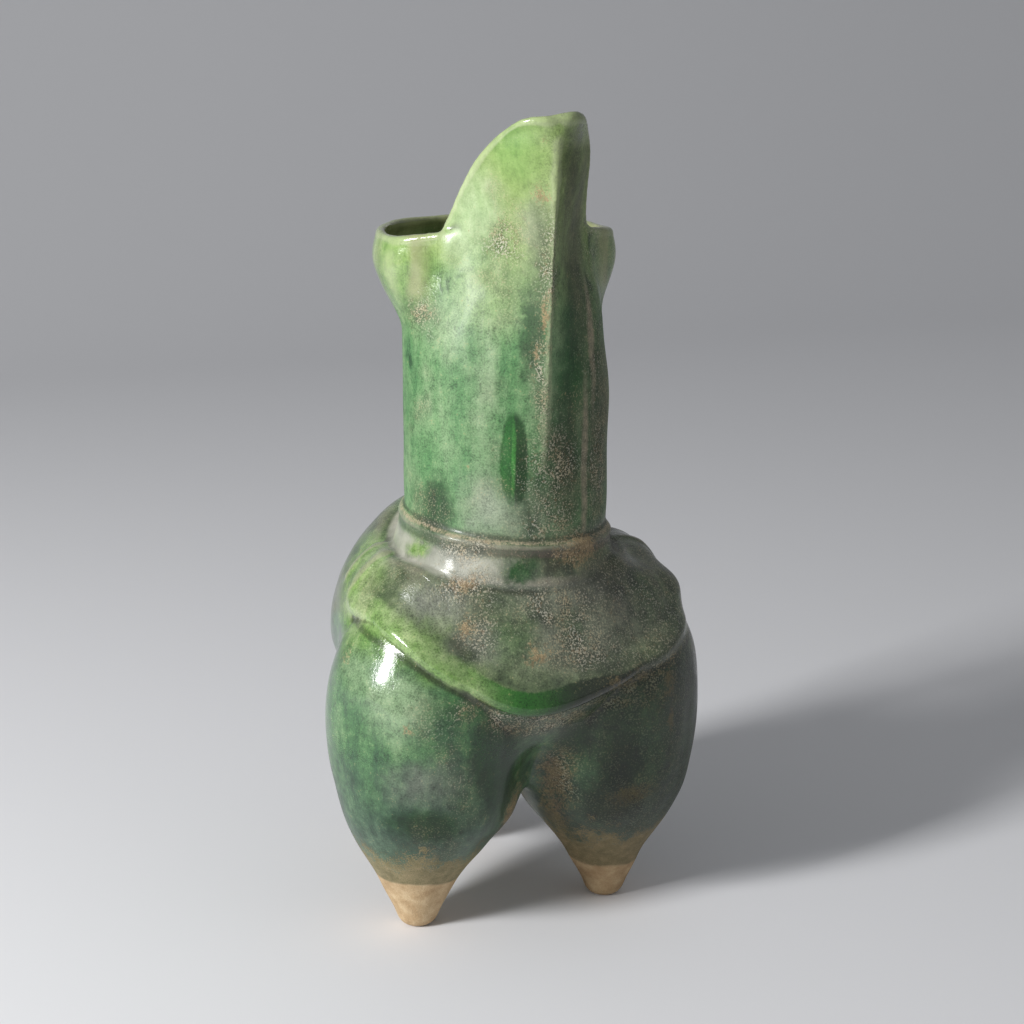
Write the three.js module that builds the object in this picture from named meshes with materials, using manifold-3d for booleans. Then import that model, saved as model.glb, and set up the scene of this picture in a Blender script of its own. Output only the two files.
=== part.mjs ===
// Green-glazed tripod pitcher, hand-built from luted clay pieces. Millimetres, +Z up.
// The feet stand on z = 0 and the beak spout faces -Y. Pieces are shaped round the neck's axis,
// and then the whole jug is moved so that the middle of its depth is at y = 0.
import * as THREE from 'three';
import { mergeVertices } from 'three/addons/utils/BufferGeometryUtils.js';
import Module from 'manifold-3d';

// Whole jug
const jugHeight = 300;
const wall = 4;
const clearance = 0.3; // between two luted pieces
const segments = 40; // points round every ring

// Neck tube and its keel
const neckRadius = 36.9;
const neckTop = 226;
const keelStart = 175; // below this height the neck is round
const keelAtTip = 13.5; // how far the keel stands out of the round at the tip

// Spout
const spoutSqueeze = 7; // how much narrower than the neck the beak gets
const squeezeStart = 205;
const squeezeEnd = 260;
const spoutBack = -12; // plane, before the neck's axis, where beak and rim meet
const spoutWall = 3.6;
const beakHalfWidth = 27.6; // at the lip

// Mouth rim
const lipHeight = 255;
const rimWidest = 248;
const rimRadius = 43.4;
const rimSetback = 10.5; // how far behind the neck's axis the cup is centred
const rimPinch = 0.14; // share by which the cup narrows where it meets the beak
const lipInturn = 2.4;
const rimWall = 3.6;

// Collar
const collarTop = 154;
const collarHeight = 16;
const collarFoot = collarTop - collarHeight;
const collarThickness = 2.4;
const collarFlare = 1.6;
const collarEdge = 1.2; // its upper edge is rounded off by this much
const collarTiltBack = 0.08; // its plane climbs towards the rear
const collarTiltSide = -0.062; // and towards the left

// Shoulder
const bodyHalfWidth = 66.8;
const bodyFront = 55.5;
const bodyRear = 80;
const bodyOffset = 2; // the body sits a little to the right of the neck
const shoulderFrontTop = 141;
const shoulderSideTop = 141.8;
const shoulderRearTop = 157.5; // the hump behind the neck
const shoulderDish = 0.035;

// Cordon: heights of its middle line round the body
const cordonFront = 96;
const cordonLeft = 120;
const cordonRight = 116;
const cordonRear = 116;
const cordonBetween = 107;
const cordonProud = 2.6; // at the front
const cordonProudBehind = 1.8; // it sinks into the body towards the rear
const cordonHalfHeight = 4.6;

// Pouch legs
const pouchRadius = 37.5;
const pouchWidest = 88;
const pouchTop = 126;
const pouchSpread = 33.5; // from the middle plane to a front pouch's centre
const frontPouchY = -10;
const rearPouchY = 50;
const footSpread = 38;
const frontFootY = -7;
const rearFootY = 62;
const footHeight = 22;
const footFlatRadius = 3.8;
const footTipRadius = 6; // just above the worn flat
const pouchFloor = 4; // clay under a pouch's hollow

// Saddle between the pouches
const saddleHalfWidth = 58;
const saddleHalfDepth = 66;
const saddleMiddleZ = 112;
const saddleDepth = 50;

// Handle strap
const handleWidth = 20;
const handleThickness = 8.5;
const handleReach = 81; // behind the neck's axis
const handleTop = 204; // where it leaves the neck
const handleFoot = 148; // where it lands on the shoulder

// Flank straps
const strapAngle = 97; // degrees round from the front
const strapWidth = 15;
const strapProud = 1.5;

const wasm = await Module();
wasm.setup();

const glaze = new THREE.MeshStandardMaterial({ color: 0x4f8f4a, roughness: 0.28, metalness: 0 });
const paleGlaze = new THREE.MeshStandardMaterial({ color: 0x8fb268, roughness: 0.3, metalness: 0 });
const greyedGlaze = new THREE.MeshStandardMaterial({ color: 0x7f8a76, roughness: 0.5, metalness: 0 });
const bareClay = new THREE.MeshStandardMaterial({ color: 0xc9a878, roughness: 0.85, metalness: 0 });

const { clamp, lerp, degToRad, smoothstep } = THREE.MathUtils;

// The angle runs from the front, -Y, towards +X
const around = (angle, radius, z, centreY = 0) =>
  new THREE.Vector3(radius * Math.sin(angle), centreY - radius * Math.cos(angle), z);

const ringOf = (pointAt) =>
  Array.from({ length: segments }, (_, i) => pointAt((2 * Math.PI * i) / segments));

// Value at x on the straight lines through [x, value] pairs
function along(pairs, x, column = 1) {
  const last = pairs.length - 2;
  const i = clamp(pairs.findIndex((pair) => pair[0] > x) - 1, 0, last);
  const from = x >= pairs[last + 1][0] ? last : i;
  const share = clamp((x - pairs[from][0]) / (pairs[from + 1][0] - pairs[from][0]), 0, 1);
  return lerp(pairs[from][column], pairs[from + 1][column], share);
}

function solidFrom(geometry) {
  geometry.deleteAttribute('normal');
  geometry.deleteAttribute('uv');
  const merged = mergeVertices(geometry);
  const mesh = new wasm.Mesh({
    numProp: 3,
    vertProperties: merged.attributes.position.array,
    triVerts: Uint32Array.from(merged.index.array),
  });
  return new wasm.Manifold(mesh);
}

function geometryOf(points, index) {
  const geometry = new THREE.BufferGeometry().setFromPoints(points);
  geometry.setIndex(index);
  return geometry;
}

// Skin between each ring and the next; the rings turn anticlockwise seen from the end they climb to
function skinIndex(count, levels, closed) {
  const index = [];
  const spans = closed ? levels : levels - 1;
  for (let level = 0; level < spans; level++) {
    const next = ((level + 1) % levels) * count;
    for (let i = 0; i < count; i++) {
      const a = level * count + i;
      const b = level * count + ((i + 1) % count);
      index.push(a, b, next + ((i + 1) % count), a, next + ((i + 1) % count), next + i);
    }
  }
  return index;
}

const middleOf = (ring) =>
  ring.reduce((sum, p) => sum.add(p), new THREE.Vector3()).divideScalar(ring.length);

// A solid through a stack of rings, with a fan at each end
function stackSolid(rings) {
  const count = rings[0].length;
  const index = skinIndex(count, rings.length, false);
  const points = [...rings.flat(), middleOf(rings[0]), middleOf(rings.at(-1))];
  const low = points.length - 2;
  const top = (rings.length - 1) * count;
  for (let i = 0; i < count; i++) {
    const j = (i + 1) % count;
    index.push(low, j, i, low + 1, top + i, top + j);
  }
  return solidFrom(geometryOf(points, index));
}

// A ring of rings, such as a bead that runs round and meets itself
const loopSolid = (rings) =>
  solidFrom(geometryOf(rings.flat(), skinIndex(rings[0].length, rings.length, true)));

const boxSolid = (low, high) => {
  const size = new THREE.Vector3().subVectors(high, low);
  const box = new THREE.BoxGeometry(size.x, size.y, size.z);
  box.translate(low.x + size.x / 2, low.y + size.y / 2, low.z + size.z / 2);
  return solidFrom(box);
};

const far = 400; // larger than the jug, for the solids that only cut
const spaceBehind = (y) => boxSolid(new THREE.Vector3(-far, y, -far), new THREE.Vector3(far, far, far));
const spaceAbove = (z) => boxSolid(new THREE.Vector3(-far, -far, z), new THREE.Vector3(far, far, far));

// Neck and beak share one section: a circle drawn out to a keel at the front
function keelRadius(z) {
  const share = clamp((z - keelStart) / (jugHeight - keelStart), 0, 1);
  return neckRadius + keelAtTip * share ** 0.8;
}

const fromFront = (angle) => Math.abs(Math.atan2(Math.sin(angle), Math.cos(angle)));

// Towards the beak the front half of the tube is squeezed narrower; its rear stays round
function tubeRadius(angle, z) {
  const frontShare = 1 - smoothstep(fromFront(angle), degToRad(55), degToRad(105));
  return neckRadius - spoutSqueeze * frontShare * smoothstep(z, squeezeStart, squeezeEnd);
}

function neckPoint(angle, z, inset = 0) {
  const radius = tubeRadius(angle, z) - inset;
  const keel = Math.max(keelRadius(z) - inset, radius);
  const tangent = Math.acos(radius / keel);
  return around(angle, radius / Math.cos(Math.max(0, tangent - fromFront(angle))), z);
}

const neckStack = (heights, inset) =>
  stackSolid(heights.map((z) => ringOf((angle) => neckPoint(angle, z, inset))));

const neckDepth = 20; // how far below the collar's top the uncut tube reaches
const overshoot = 10; // how far a cutting solid runs past the face that it cuts
const neckHeights = [
  collarTop - neckDepth,
  keelStart,
  lerp(keelStart, squeezeStart, 0.5),
  squeezeStart,
  lerp(squeezeStart, neckTop, 0.5),
  neckTop,
];

const neckSolid = (grow) => neckStack(neckHeights, -grow);

// The bore runs on down into the body
const neckBore = () =>
  neckStack([cordonFront - overshoot, ...neckHeights.slice(1), neckTop + overshoot], wall);

// The tube stands on the shoulder's top
const neckTube = () => neckSolid(0).subtract(neckBore()).subtract(shoulderSolid(-clearance));

// The beak's free edge as it climbs: shares of the way from the lip to the tip, of its half width
// at the lip, and of the way forward from its back plane to the keel
const beakTipSetback = 2.2; // the free edge stops this far behind the keel
const beakEdge = [
  [0, 1, 0],
  [0.2, 0.92, 0.11],
  [0.38, 0.848, 0.25],
  [0.556, 0.761, 0.428],
  [0.733, 0.652, 0.622],
  [0.878, 0.5, 0.801],
  [0.96, 0.377, 0.94],
  [1, 0.275, 1],
].map(([climb, width, forward]) => [
  lerp(lipHeight, jugHeight, climb),
  beakHalfWidth * width,
  lerp(spoutBack, beakTipSetback - keelRadius(jugHeight), forward),
]);

// Half a section of the beak, from its keel at share 0 to its back edge at share 1.
// Below the lip it follows the neck's section, above it the flank runs straight to the free edge.
function beakPoint(share, z, inset) {
  if (z < lipHeight) {
    const turn = Math.acos(-spoutBack / (tubeRadius(0, z) - inset));
    return neckPoint(share * turn, z, inset);
  }
  const edge = new THREE.Vector2(along(beakEdge, z, 1), along(beakEdge, z, 2));
  const keel = new THREE.Vector2(0, -keelRadius(z));
  const flank = edge.clone().sub(keel).normalize();
  const inner = new THREE.Vector2(0, keel.y + inset / flank.x);
  const end = inner.clone().addScaledVector(flank, edge.distanceTo(keel));
  const point = inset ? inner.lerp(end, share) : keel.lerp(edge, share);
  return new THREE.Vector3(point.x, point.y, z);
}

function beakStack(heights, inset, back) {
  const steps = 8;
  const half = (side, z) =>
    Array.from({ length: steps + 1 }, (_, i) => {
      const point = beakPoint(i / steps, z, inset);
      point.x *= side;
      return point;
    });
  const rings = heights.map((z) => {
    const front = [...half(-1, z).reverse(), ...half(1, z).slice(1)];
    const ends = [front.at(-1), front[0]].map((p) => new THREE.Vector3(p.x, back, p.z));
    return back === undefined ? front : [...front, ...ends];
  });
  return stackSolid(rings);
}

function spout() {
  const lower = [0, 0.35, 0.7, 0.999].map((share) => lerp(neckTop + clearance, lipHeight, share));
  const upper = beakEdge.map(([z]) => z);
  const hollow = [neckTop - overshoot, ...lower.slice(1), ...upper.slice(0, -1), jugHeight + clearance];
  return beakStack([...lower, ...upper], 0).subtract(beakStack(hollow, spoutWall, neckRadius));
}

// The cup swells and slides back from the neck, and narrows again at the beak
function rimPoint(angle, z, inset) {
  const swell = smoothstep(z, neckTop, rimWidest);
  const inturn = lipInturn * clamp((z - rimWidest) / (lipHeight - rimWidest), 0, 1) ** 2;
  const radius = lerp(tubeRadius(angle, z), rimRadius, swell) - inturn - inset;
  const point = around(angle, radius, z, rimSetback * swell);
  const nearBeak = 1 - smoothstep(point.y, spoutBack, spoutBack + rimSetback);
  point.x *= 1 - rimPinch * swell * nearBeak;
  return point;
}

const rimStack = (heights, inset) =>
  stackSolid(heights.map((z) => ringOf((angle) => rimPoint(angle, z, inset))));

function mouthRim() {
  const below = [0, 0.2, 0.42, 0.62, 0.82].map((share) => lerp(neckTop + clearance, rimWidest, share));
  const heights = [...below, rimWidest, lerp(rimWidest, lipHeight, 0.6), lipHeight];
  const hollow = rimStack([neckTop - overshoot, ...heights, lipHeight + overshoot], rimWall);
  return rimStack(heights, 0)
    .subtract(hollow)
    .intersect(spaceBehind(spoutBack + clearance));
}

// Shoulder profiles from the bottom up. Each pair is the share of the way from the neck out to the
// body, and the share of the way from the cordon's lowest height up to the shoulder's top.
const shoulderProfiles = {
  front: [
    [1.08, -0.3], [1, -0.07], [0.84, 0.14], [0.66, 0.35], [0.48, 0.56],
    [0.3, 0.74], [0.17, 0.88], [0.09, 0.95], [0.01, 1], [-0.43, 1],
  ],
  side: [
    [1.04, -0.18], [1.03, 0.11], [0.965, 0.365], [0.862, 0.605], [0.694, 0.8],
    [0.51, 0.925], [0.327, 1], [0.144, 0.99], [0.006, 0.97], [-0.25, 0.97],
  ],
  rear: [
    [0.93, -0.13], [0.96, 0.07], [0.98, 0.27], [0.93, 0.49], [0.82, 0.67],
    [0.66, 0.82], [0.45, 0.945], [0.22, 1], [0.005, 0.99], [-0.19, 0.99],
  ],
};

function profilePoint(name, level, inset) {
  const reach = { front: bodyFront, side: bodyHalfWidth, rear: bodyRear }[name];
  const top = { front: shoulderFrontTop, side: shoulderSideTop, rear: shoulderRearTop }[name];
  const [out, up] = shoulderProfiles[name][level];
  return { radius: lerp(neckRadius, reach, out) - inset, z: lerp(cordonFront, top, up) - inset };
}

// Round the neck the profiles pass into each other as quarter ellipses
function shoulderPoint(angle, level, inset = 0) {
  const side = profilePoint('side', level, inset);
  const ends = profilePoint(Math.cos(angle) > 0 ? 'front' : 'rear', level, inset);
  const plain = 1 / Math.hypot(Math.sin(angle) / side.radius, Math.cos(angle) / ends.radius);
  const middle = Math.sin((Math.PI * level) / (shoulderProfiles.side.length - 1));
  const dish = Math.cos(angle) > 0 ? shoulderDish * middle * Math.sin(2 * angle) ** 2 : 0;
  const point = around(angle, plain * (1 - dish), lerp(ends.z, side.z, Math.sin(angle) ** 2));
  point.x += bodyOffset * (1 - level / (shoulderProfiles.side.length - 1));
  return point;
}

// Inset moves the skin in and down by the same amount, a negative one out and up
const shoulderSolid = (inset = 0) =>
  stackSolid(shoulderProfiles.side.map((_, level) => ringOf((angle) => shoulderPoint(angle, level, inset))));

// The shoulder's radius, or its level, where it has a given height
function shoulderAt(angle, z) {
  const climb = shoulderProfiles.side.map((_, level) => {
    const point = shoulderPoint(angle, level);
    return [point.z, Math.hypot(point.x, point.y), level];
  });
  return { radius: along(climb, z, 1), level: along(climb, z, 2) };
}

// Height of the cordon's middle line at an angle from the front
const cordonLine = new THREE.CatmullRomCurve3(
  [
    [-180, cordonRear],
    [-135, cordonBetween],
    [-90, cordonLeft],
    [-52, lerp(cordonFront, cordonLeft, 0.93)],
    [-25, lerp(cordonFront, cordonLeft, 0.34)],
    [3, cordonFront],
    [38, lerp(cordonFront, cordonRight, 0.27)],
    [64, lerp(cordonFront, cordonRight, 0.72)],
    [92, cordonRight],
    [135, cordonBetween],
    [180, cordonRear],
  ].map(([angle, z]) => new THREE.Vector3(angle, z, 0)),
  false,
  'catmullrom',
).getPoints(160);
const cordonPairs = cordonLine.map((p) => [p.x, p.y]);

function cordonHeight(angle) {
  const turned = THREE.MathUtils.radToDeg(Math.atan2(Math.sin(angle), Math.cos(angle)));
  return along(cordonPairs, turned);
}

// Everything under the cordon's middle line
function belowCordon(shift) {
  const outside = bodyRear + overshoot;
  const line = (radius) => ringOf((angle) => around(angle, radius, cordonHeight(angle) + shift));
  const bottom = ringOf((angle) => around(angle, outside, -overshoot));
  return stackSolid([bottom, line(outside), line(neckRadius)]);
}

const shoulderShell = () =>
  shoulderSolid()
    .subtract(shoulderSolid(wall))
    .subtract(neckBore())
    .subtract(belowCordon(clearance / 2));

// Pouch outline: [height, radius, share of the lean from foot to pouch centre]
const pouchLevels = [
  [0, footFlatRadius, 0],
  [footHeight * 0.08, footTipRadius, 0],
  [footHeight * 0.32, lerp(footTipRadius, pouchRadius, 0.07), 0.02],
  [footHeight * 0.64, lerp(footTipRadius, pouchRadius, 0.19), 0.06],
  [footHeight, lerp(footTipRadius, pouchRadius, 0.32), 0.14],
  [pouchWidest * 0.39, lerp(footTipRadius, pouchRadius, 0.59), 0.5],
  [pouchWidest * 0.54, lerp(footTipRadius, pouchRadius, 0.83), 0.84],
  [pouchWidest * 0.69, lerp(footTipRadius, pouchRadius, 0.94), 1],
  [pouchWidest * 0.86, pouchRadius * 0.99, 1],
  [pouchWidest, pouchRadius, 1],
  [lerp(pouchWidest, pouchTop, 0.32), pouchRadius * 0.96, 1],
  [lerp(pouchWidest, pouchTop, 0.58), pouchRadius * 0.875, 1],
  [lerp(pouchWidest, pouchTop, 0.79), pouchRadius * 0.765, 1],
  [pouchTop, pouchRadius * 0.573, 1],
];

const pouches = [
  { name: 'front_left', foot: [-footSpread, frontFootY], centre: [-pouchSpread, frontPouchY] },
  { name: 'front_right', foot: [footSpread, frontFootY], centre: [pouchSpread, frontPouchY] },
  { name: 'rear', foot: [0, rearFootY], centre: [0, rearPouchY] },
];

function pouchRing({ foot, centre }, [z, radius, lean], inset) {
  const x = lerp(foot[0], centre[0], lean);
  const y = lerp(foot[1], centre[1], lean);
  return ringOf((angle) => around(angle, radius - inset, z, y).add(new THREE.Vector3(x, 0, 0)));
}

const pouchSolid = (pouch, inset = 0) =>
  stackSolid(pouchLevels.map((level) => pouchRing(pouch, level, inset)));

// The hollow starts a floor's thickness above the foot
function pouchHollow(pouch) {
  const floor = footHeight + pouchFloor;
  const levels = pouchLevels.filter(([z]) => z > floor);
  const start = [floor, along(pouchLevels, floor, 1), along(pouchLevels, floor, 2)];
  return stackSolid([start, ...levels].map((level) => pouchRing(pouch, level, wall)));
}

// Where the three seams between the pouches meet
const towardsRear = new THREE.Vector2(-pouchSpread, rearPouchY - frontPouchY).normalize();
const seamY =
  (frontPouchY + rearPouchY) / 2 - (pouchSpread / 2) * (-towardsRear.x / towardsRear.y);

function saddleSolid(inset = 0) {
  const ball = new THREE.SphereGeometry(1, segments, 20);
  ball.scale(saddleHalfWidth - inset, saddleHalfDepth - inset, saddleDepth - inset);
  ball.translate(0, seamY, saddleMiddleZ);
  return solidFrom(ball);
}

const bellySolid = (inset = 0) =>
  pouches.reduce((sum, pouch) => sum.add(pouchSolid(pouch, inset)), saddleSolid(inset));

const bellyHollow = () =>
  pouches.reduce((sum, pouch) => sum.add(pouchHollow(pouch)), saddleSolid(wall));

// A third of the belly, between the two seams that the pouch has with its neighbours
function sectorSolid(index) {
  const side = new THREE.Vector2(towardsRear.y, -towardsRear.x).multiplyScalar(far);
  const front = new THREE.Vector2(0, -far);
  const left = new THREE.Vector2(-side.x, side.y);
  const bounds = [[left, front], [front, side], [side, left]][index];
  const inner = bounds[0].clone().normalize().add(bounds[1].clone().normalize()).normalize();
  const halfTurn = bounds[0].angleTo(bounds[1]) / 2;
  const apex = inner.clone().multiplyScalar(clearance / 2 / Math.sin(halfTurn));
  const outline = new THREE.Shape([
    apex,
    bounds[0].clone().add(apex),
    inner.clone().multiplyScalar(2 * far),
    bounds[1].clone().add(apex),
  ]);
  const prism = new THREE.ExtrudeGeometry(outline, { depth: 2 * far, bevelEnabled: false });
  prism.translate(0, seamY, -far);
  return solidFrom(prism);
}

function belly() {
  return bellySolid().subtract(bellyHollow()).intersect(belowCordon(-clearance / 2));
}

const pouchLeg = (shell, index) =>
  shell.intersect(sectorSolid(index)).intersect(spaceAbove(footHeight));

const pouchFoot = (pouch) => pouchSolid(pouch).subtract(spaceAbove(footHeight - clearance));

// How far out a pouch reaches along a ray from the neck's axis at a height
function pouchReach({ centre }, angle, z) {
  const radius = along(pouchLevels, z);
  const ray = around(angle, 1, 0);
  const ahead = centre[0] * ray.x + centre[1] * ray.y;
  const beside = centre[0] * ray.y - centre[1] * ray.x;
  return Math.abs(beside) < radius ? ahead + Math.sqrt(radius ** 2 - beside ** 2) : 0;
}

// A rounded bead laid against the body along the cordon's line
function cordonSolid(grow = 0) {
  const sides = 10;
  const rings = ringOf((angle) => {
    const z = cordonHeight(angle);
    const skins = [shoulderAt(angle, z).radius, ...pouches.map((p) => pouchReach(p, angle, z))];
    const centre = around(angle, Math.max(...skins), z);
    const out = around(angle, 1, 0);
    const behind = smoothstep(fromFront(angle), degToRad(50), degToRad(110));
    const proud = lerp(cordonProud, cordonProudBehind, behind);
    return Array.from({ length: sides }, (_, i) => {
      const turn = (2 * Math.PI * i) / sides;
      return centre
        .clone()
        .addScaledVector(out, (proud + grow) * Math.cos(turn))
        .add(new THREE.Vector3(0, 0, -(cordonHalfHeight + grow) * Math.sin(turn)));
    });
  });
  return loopSolid(rings);
}

const backing = () =>
  shoulderSolid(-clearance).add(bellySolid(-clearance).intersect(belowCordon(clearance / 2)));

const bodyCordon = () => cordonSolid().subtract(backing());

function collarSolid(grow = 0) {
  const top = neckRadius + collarThickness + grow;
  const levels = [
    [collarFoot - grow, top + collarFlare],
    [lerp(collarFoot, collarTop, 0.3), top + 0.45 * collarFlare],
    [lerp(collarFoot, collarTop, 0.7), top],
    [collarTop - collarEdge + grow, top],
    [collarTop + grow, top - collarEdge],
  ];
  const rings = levels.map(([z, radius]) =>
    ringOf((angle) => {
      const point = around(angle, radius, z);
      point.z += collarTiltBack * point.y + collarTiltSide * point.x;
      return point;
    }),
  );
  return stackSolid(rings);
}

const collarBand = () =>
  collarSolid().subtract(neckSolid(clearance)).subtract(shoulderSolid(-clearance));

// Solid swept through rounded sections; width and depth are half sizes
function sweptStrap(stations) {
  const sides = 12;
  const rings = stations.map(({ centre, across, out, width, depth }) =>
    Array.from({ length: sides }, (_, i) => {
      const turn = (2 * Math.PI * i) / sides;
      const flat = (value) => Math.sign(value) * Math.abs(value) ** 0.6;
      return centre
        .clone()
        .addScaledVector(across, width * flat(Math.cos(turn)))
        .addScaledVector(out, depth * flat(Math.sin(turn)));
    }),
  );
  return stackSolid(rings);
}

function handle() {
  const bow = handleReach - handleThickness / 2;
  const curve = new THREE.CatmullRomCurve3(
    [
      [neckRadius - handleThickness, handleTop],
      [neckRadius + handleThickness, handleTop + handleThickness * 0.4],
      [lerp(neckRadius, handleReach, 0.6), handleTop],
      [bow - handleThickness * 0.35, lerp(handleTop, handleFoot, 0.25)],
      [bow, lerp(handleTop, handleFoot, 0.55)],
      [bow - handleThickness * 0.6, handleFoot + handleThickness],
      [bow - handleThickness * 1.9, handleFoot - handleThickness],
    ].map(([y, z]) => new THREE.Vector3(0, y, z)),
  );
  const steps = 18;
  const stations = Array.from({ length: steps + 1 }, (_, i) => {
    const tangent = curve.getTangentAt(i / steps);
    const across = new THREE.Vector3(-1, 0, 0);
    const flare = 1 + 0.25 * Math.abs((2 * i) / steps - 1) ** 3;
    return {
      centre: curve.getPointAt(i / steps),
      across,
      out: new THREE.Vector3().crossVectors(tangent, across),
      width: (handleWidth / 2) * flare,
      depth: handleThickness / 2,
    };
  });
  return sweptStrap(stations)
    .subtract(neckSolid(clearance))
    .subtract(collarSolid(clearance))
    .subtract(shoulderSolid(-clearance));
}

// A strap that carries the collar's end down a flank to the cordon
function flankStrap(side) {
  const angle = side * degToRad(strapAngle);
  const foot = shoulderAt(angle, cordonHeight(angle) + cordonHalfHeight / 2).level;
  const top = shoulderProfiles.side.length - 2; // the level where the skin meets the neck
  const steps = 14;
  const onSkin = (turn, level) => {
    const lower = Math.min(Math.floor(level), top);
    return shoulderPoint(turn, lower).lerp(shoulderPoint(turn, lower + 1), level - lower);
  };
  const stations = Array.from({ length: steps + 1 }, (_, i) => {
    const level = lerp(foot, top, i / steps);
    const beside = onSkin(angle + 0.02, level).sub(onSkin(angle - 0.02, level)).normalize();
    const up = onSkin(angle, level + 0.3).sub(onSkin(angle, level - 0.3)).normalize();
    return {
      centre: onSkin(angle, level),
      across: beside.clone().negate(),
      out: new THREE.Vector3().crossVectors(beside, up).normalize(),
      width: strapWidth / 2,
      depth: strapProud,
    };
  });
  return sweptStrap(stations)
    .subtract(backing())
    .subtract(neckSolid(clearance))
    .subtract(collarSolid(clearance))
    .subtract(cordonSolid(clearance));
}

const jug = new THREE.Group();

function addPiece(name, solid, material) {
  const { vertProperties, triVerts } = solid.getMesh();
  const geometry = new THREE.BufferGeometry();
  geometry.setAttribute('position', new THREE.BufferAttribute(vertProperties, 3));
  geometry.setIndex(new THREE.BufferAttribute(triVerts, 1));
  geometry.computeVertexNormals();
  const mesh = new THREE.Mesh(geometry, material);
  mesh.name = name;
  jug.add(mesh);
}

addPiece('neck_tube', neckTube(), glaze);
addPiece('spout', spout(), paleGlaze);
addPiece('mouth_rim', mouthRim(), paleGlaze);
addPiece('collar_band', collarBand(), greyedGlaze);
addPiece('shoulder_shell', shoulderShell(), greyedGlaze);
addPiece('body_cordon', bodyCordon(), glaze);
addPiece('handle', handle(), glaze);
addPiece('left_flank_strap', flankStrap(-1), paleGlaze);
addPiece('right_flank_strap', flankStrap(1), paleGlaze);
const bellyShell = belly();
pouches.forEach((pouch, index) => {
  addPiece(`${pouch.name}_leg`, pouchLeg(bellyShell, index), glaze);
  addPiece(`${pouch.name}_foot`, pouchFoot(pouch), bareClay);
});

jug.position.y = -new THREE.Box3().setFromObject(jug).getCenter(new THREE.Vector3()).y;

export default jug;
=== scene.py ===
# Green-glazed tripod pitcher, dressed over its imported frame.
# The forms are given in millimetres round the neck's axis, with the beak towards -Y, and land in metres.
import math

import bpy
import numpy as np
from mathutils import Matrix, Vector


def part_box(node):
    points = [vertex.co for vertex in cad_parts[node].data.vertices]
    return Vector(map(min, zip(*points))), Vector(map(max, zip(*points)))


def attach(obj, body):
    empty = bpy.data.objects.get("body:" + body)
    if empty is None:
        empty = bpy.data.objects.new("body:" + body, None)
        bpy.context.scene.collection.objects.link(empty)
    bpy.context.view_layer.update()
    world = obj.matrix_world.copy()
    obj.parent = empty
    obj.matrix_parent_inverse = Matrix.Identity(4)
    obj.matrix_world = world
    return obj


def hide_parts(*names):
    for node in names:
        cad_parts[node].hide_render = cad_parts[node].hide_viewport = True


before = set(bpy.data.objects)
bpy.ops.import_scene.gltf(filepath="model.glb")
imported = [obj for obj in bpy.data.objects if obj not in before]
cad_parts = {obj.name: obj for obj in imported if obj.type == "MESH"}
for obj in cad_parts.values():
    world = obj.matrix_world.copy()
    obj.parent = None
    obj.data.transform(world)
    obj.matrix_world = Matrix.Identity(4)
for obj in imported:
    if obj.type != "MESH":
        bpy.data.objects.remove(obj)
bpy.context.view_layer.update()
mm = 0.001
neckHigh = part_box("neck_tube")[1]
neckY = neckHigh.y - neckHigh.x  # the neck is round at its back, so this is its axis
fullTurn = 2 * math.pi
clear, underFeet, overTip = 95, -20, 330  # in mm, just outside all of the clay: sideways, below and above


def lerp(a, b, share):
    return a + (b - a) * share


def clamp(value, low, high):
    return max(low, min(high, value))


def smoothStep(value, low, high):
    share = clamp((value - low) / (high - low), 0, 1)
    return share * share * (3 - 2 * share)


def through(pairs, x):  # a smooth curve through (x, value) pairs
    xs = [pair[0] for pair in pairs]
    x = clamp(x, xs[0], xs[-1])
    i = int(clamp(sum(1 for value in xs if value <= x) - 1, 0, len(xs) - 2))
    before, low, high, after = (pairs[int(clamp(i + k, 0, len(xs) - 1))] for k in (-1, 0, 1, 2))
    span = high[0] - low[0]
    share = (x - low[0]) / span
    slopeLow = (high[1] - before[1]) / (high[0] - before[0]) * span
    slopeHigh = (after[1] - low[1]) / (after[0] - low[0]) * span
    square, cube = share ** 2, share ** 3
    return ((2 * cube - 3 * square + 1) * low[1] + (cube - 2 * square + share) * slopeLow
            + (3 * square - 2 * cube) * high[1] + (cube - square) * slopeHigh)


def around(angle, radius, z, centreY=0):  # the angle runs from the front towards +X
    return Vector((radius * math.sin(angle), centreY - radius * math.cos(angle), z))


def fromFront(angle):  # without its sign
    return abs(math.atan2(math.sin(angle), math.cos(angle)))


# Bench tools
def deselect():
    bpy.ops.object.select_all(action="DESELECT")


def only(piece):
    deselect()
    piece.select_set(True)
    bpy.context.view_layer.objects.active = piece


def outwards(piece):
    only(piece)
    bpy.ops.object.mode_set(mode="EDIT")
    bpy.ops.mesh.select_all(action="SELECT")
    bpy.ops.mesh.remove_doubles(threshold=0.00001)
    bpy.ops.mesh.normals_make_consistent(inside=False)
    bpy.ops.object.mode_set(mode="OBJECT")


def landed(point):  # from the neck's axis in mm to the jug's own frame in metres
    return Vector((point.x * mm, point.y * mm + neckY, point.z * mm))


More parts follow.
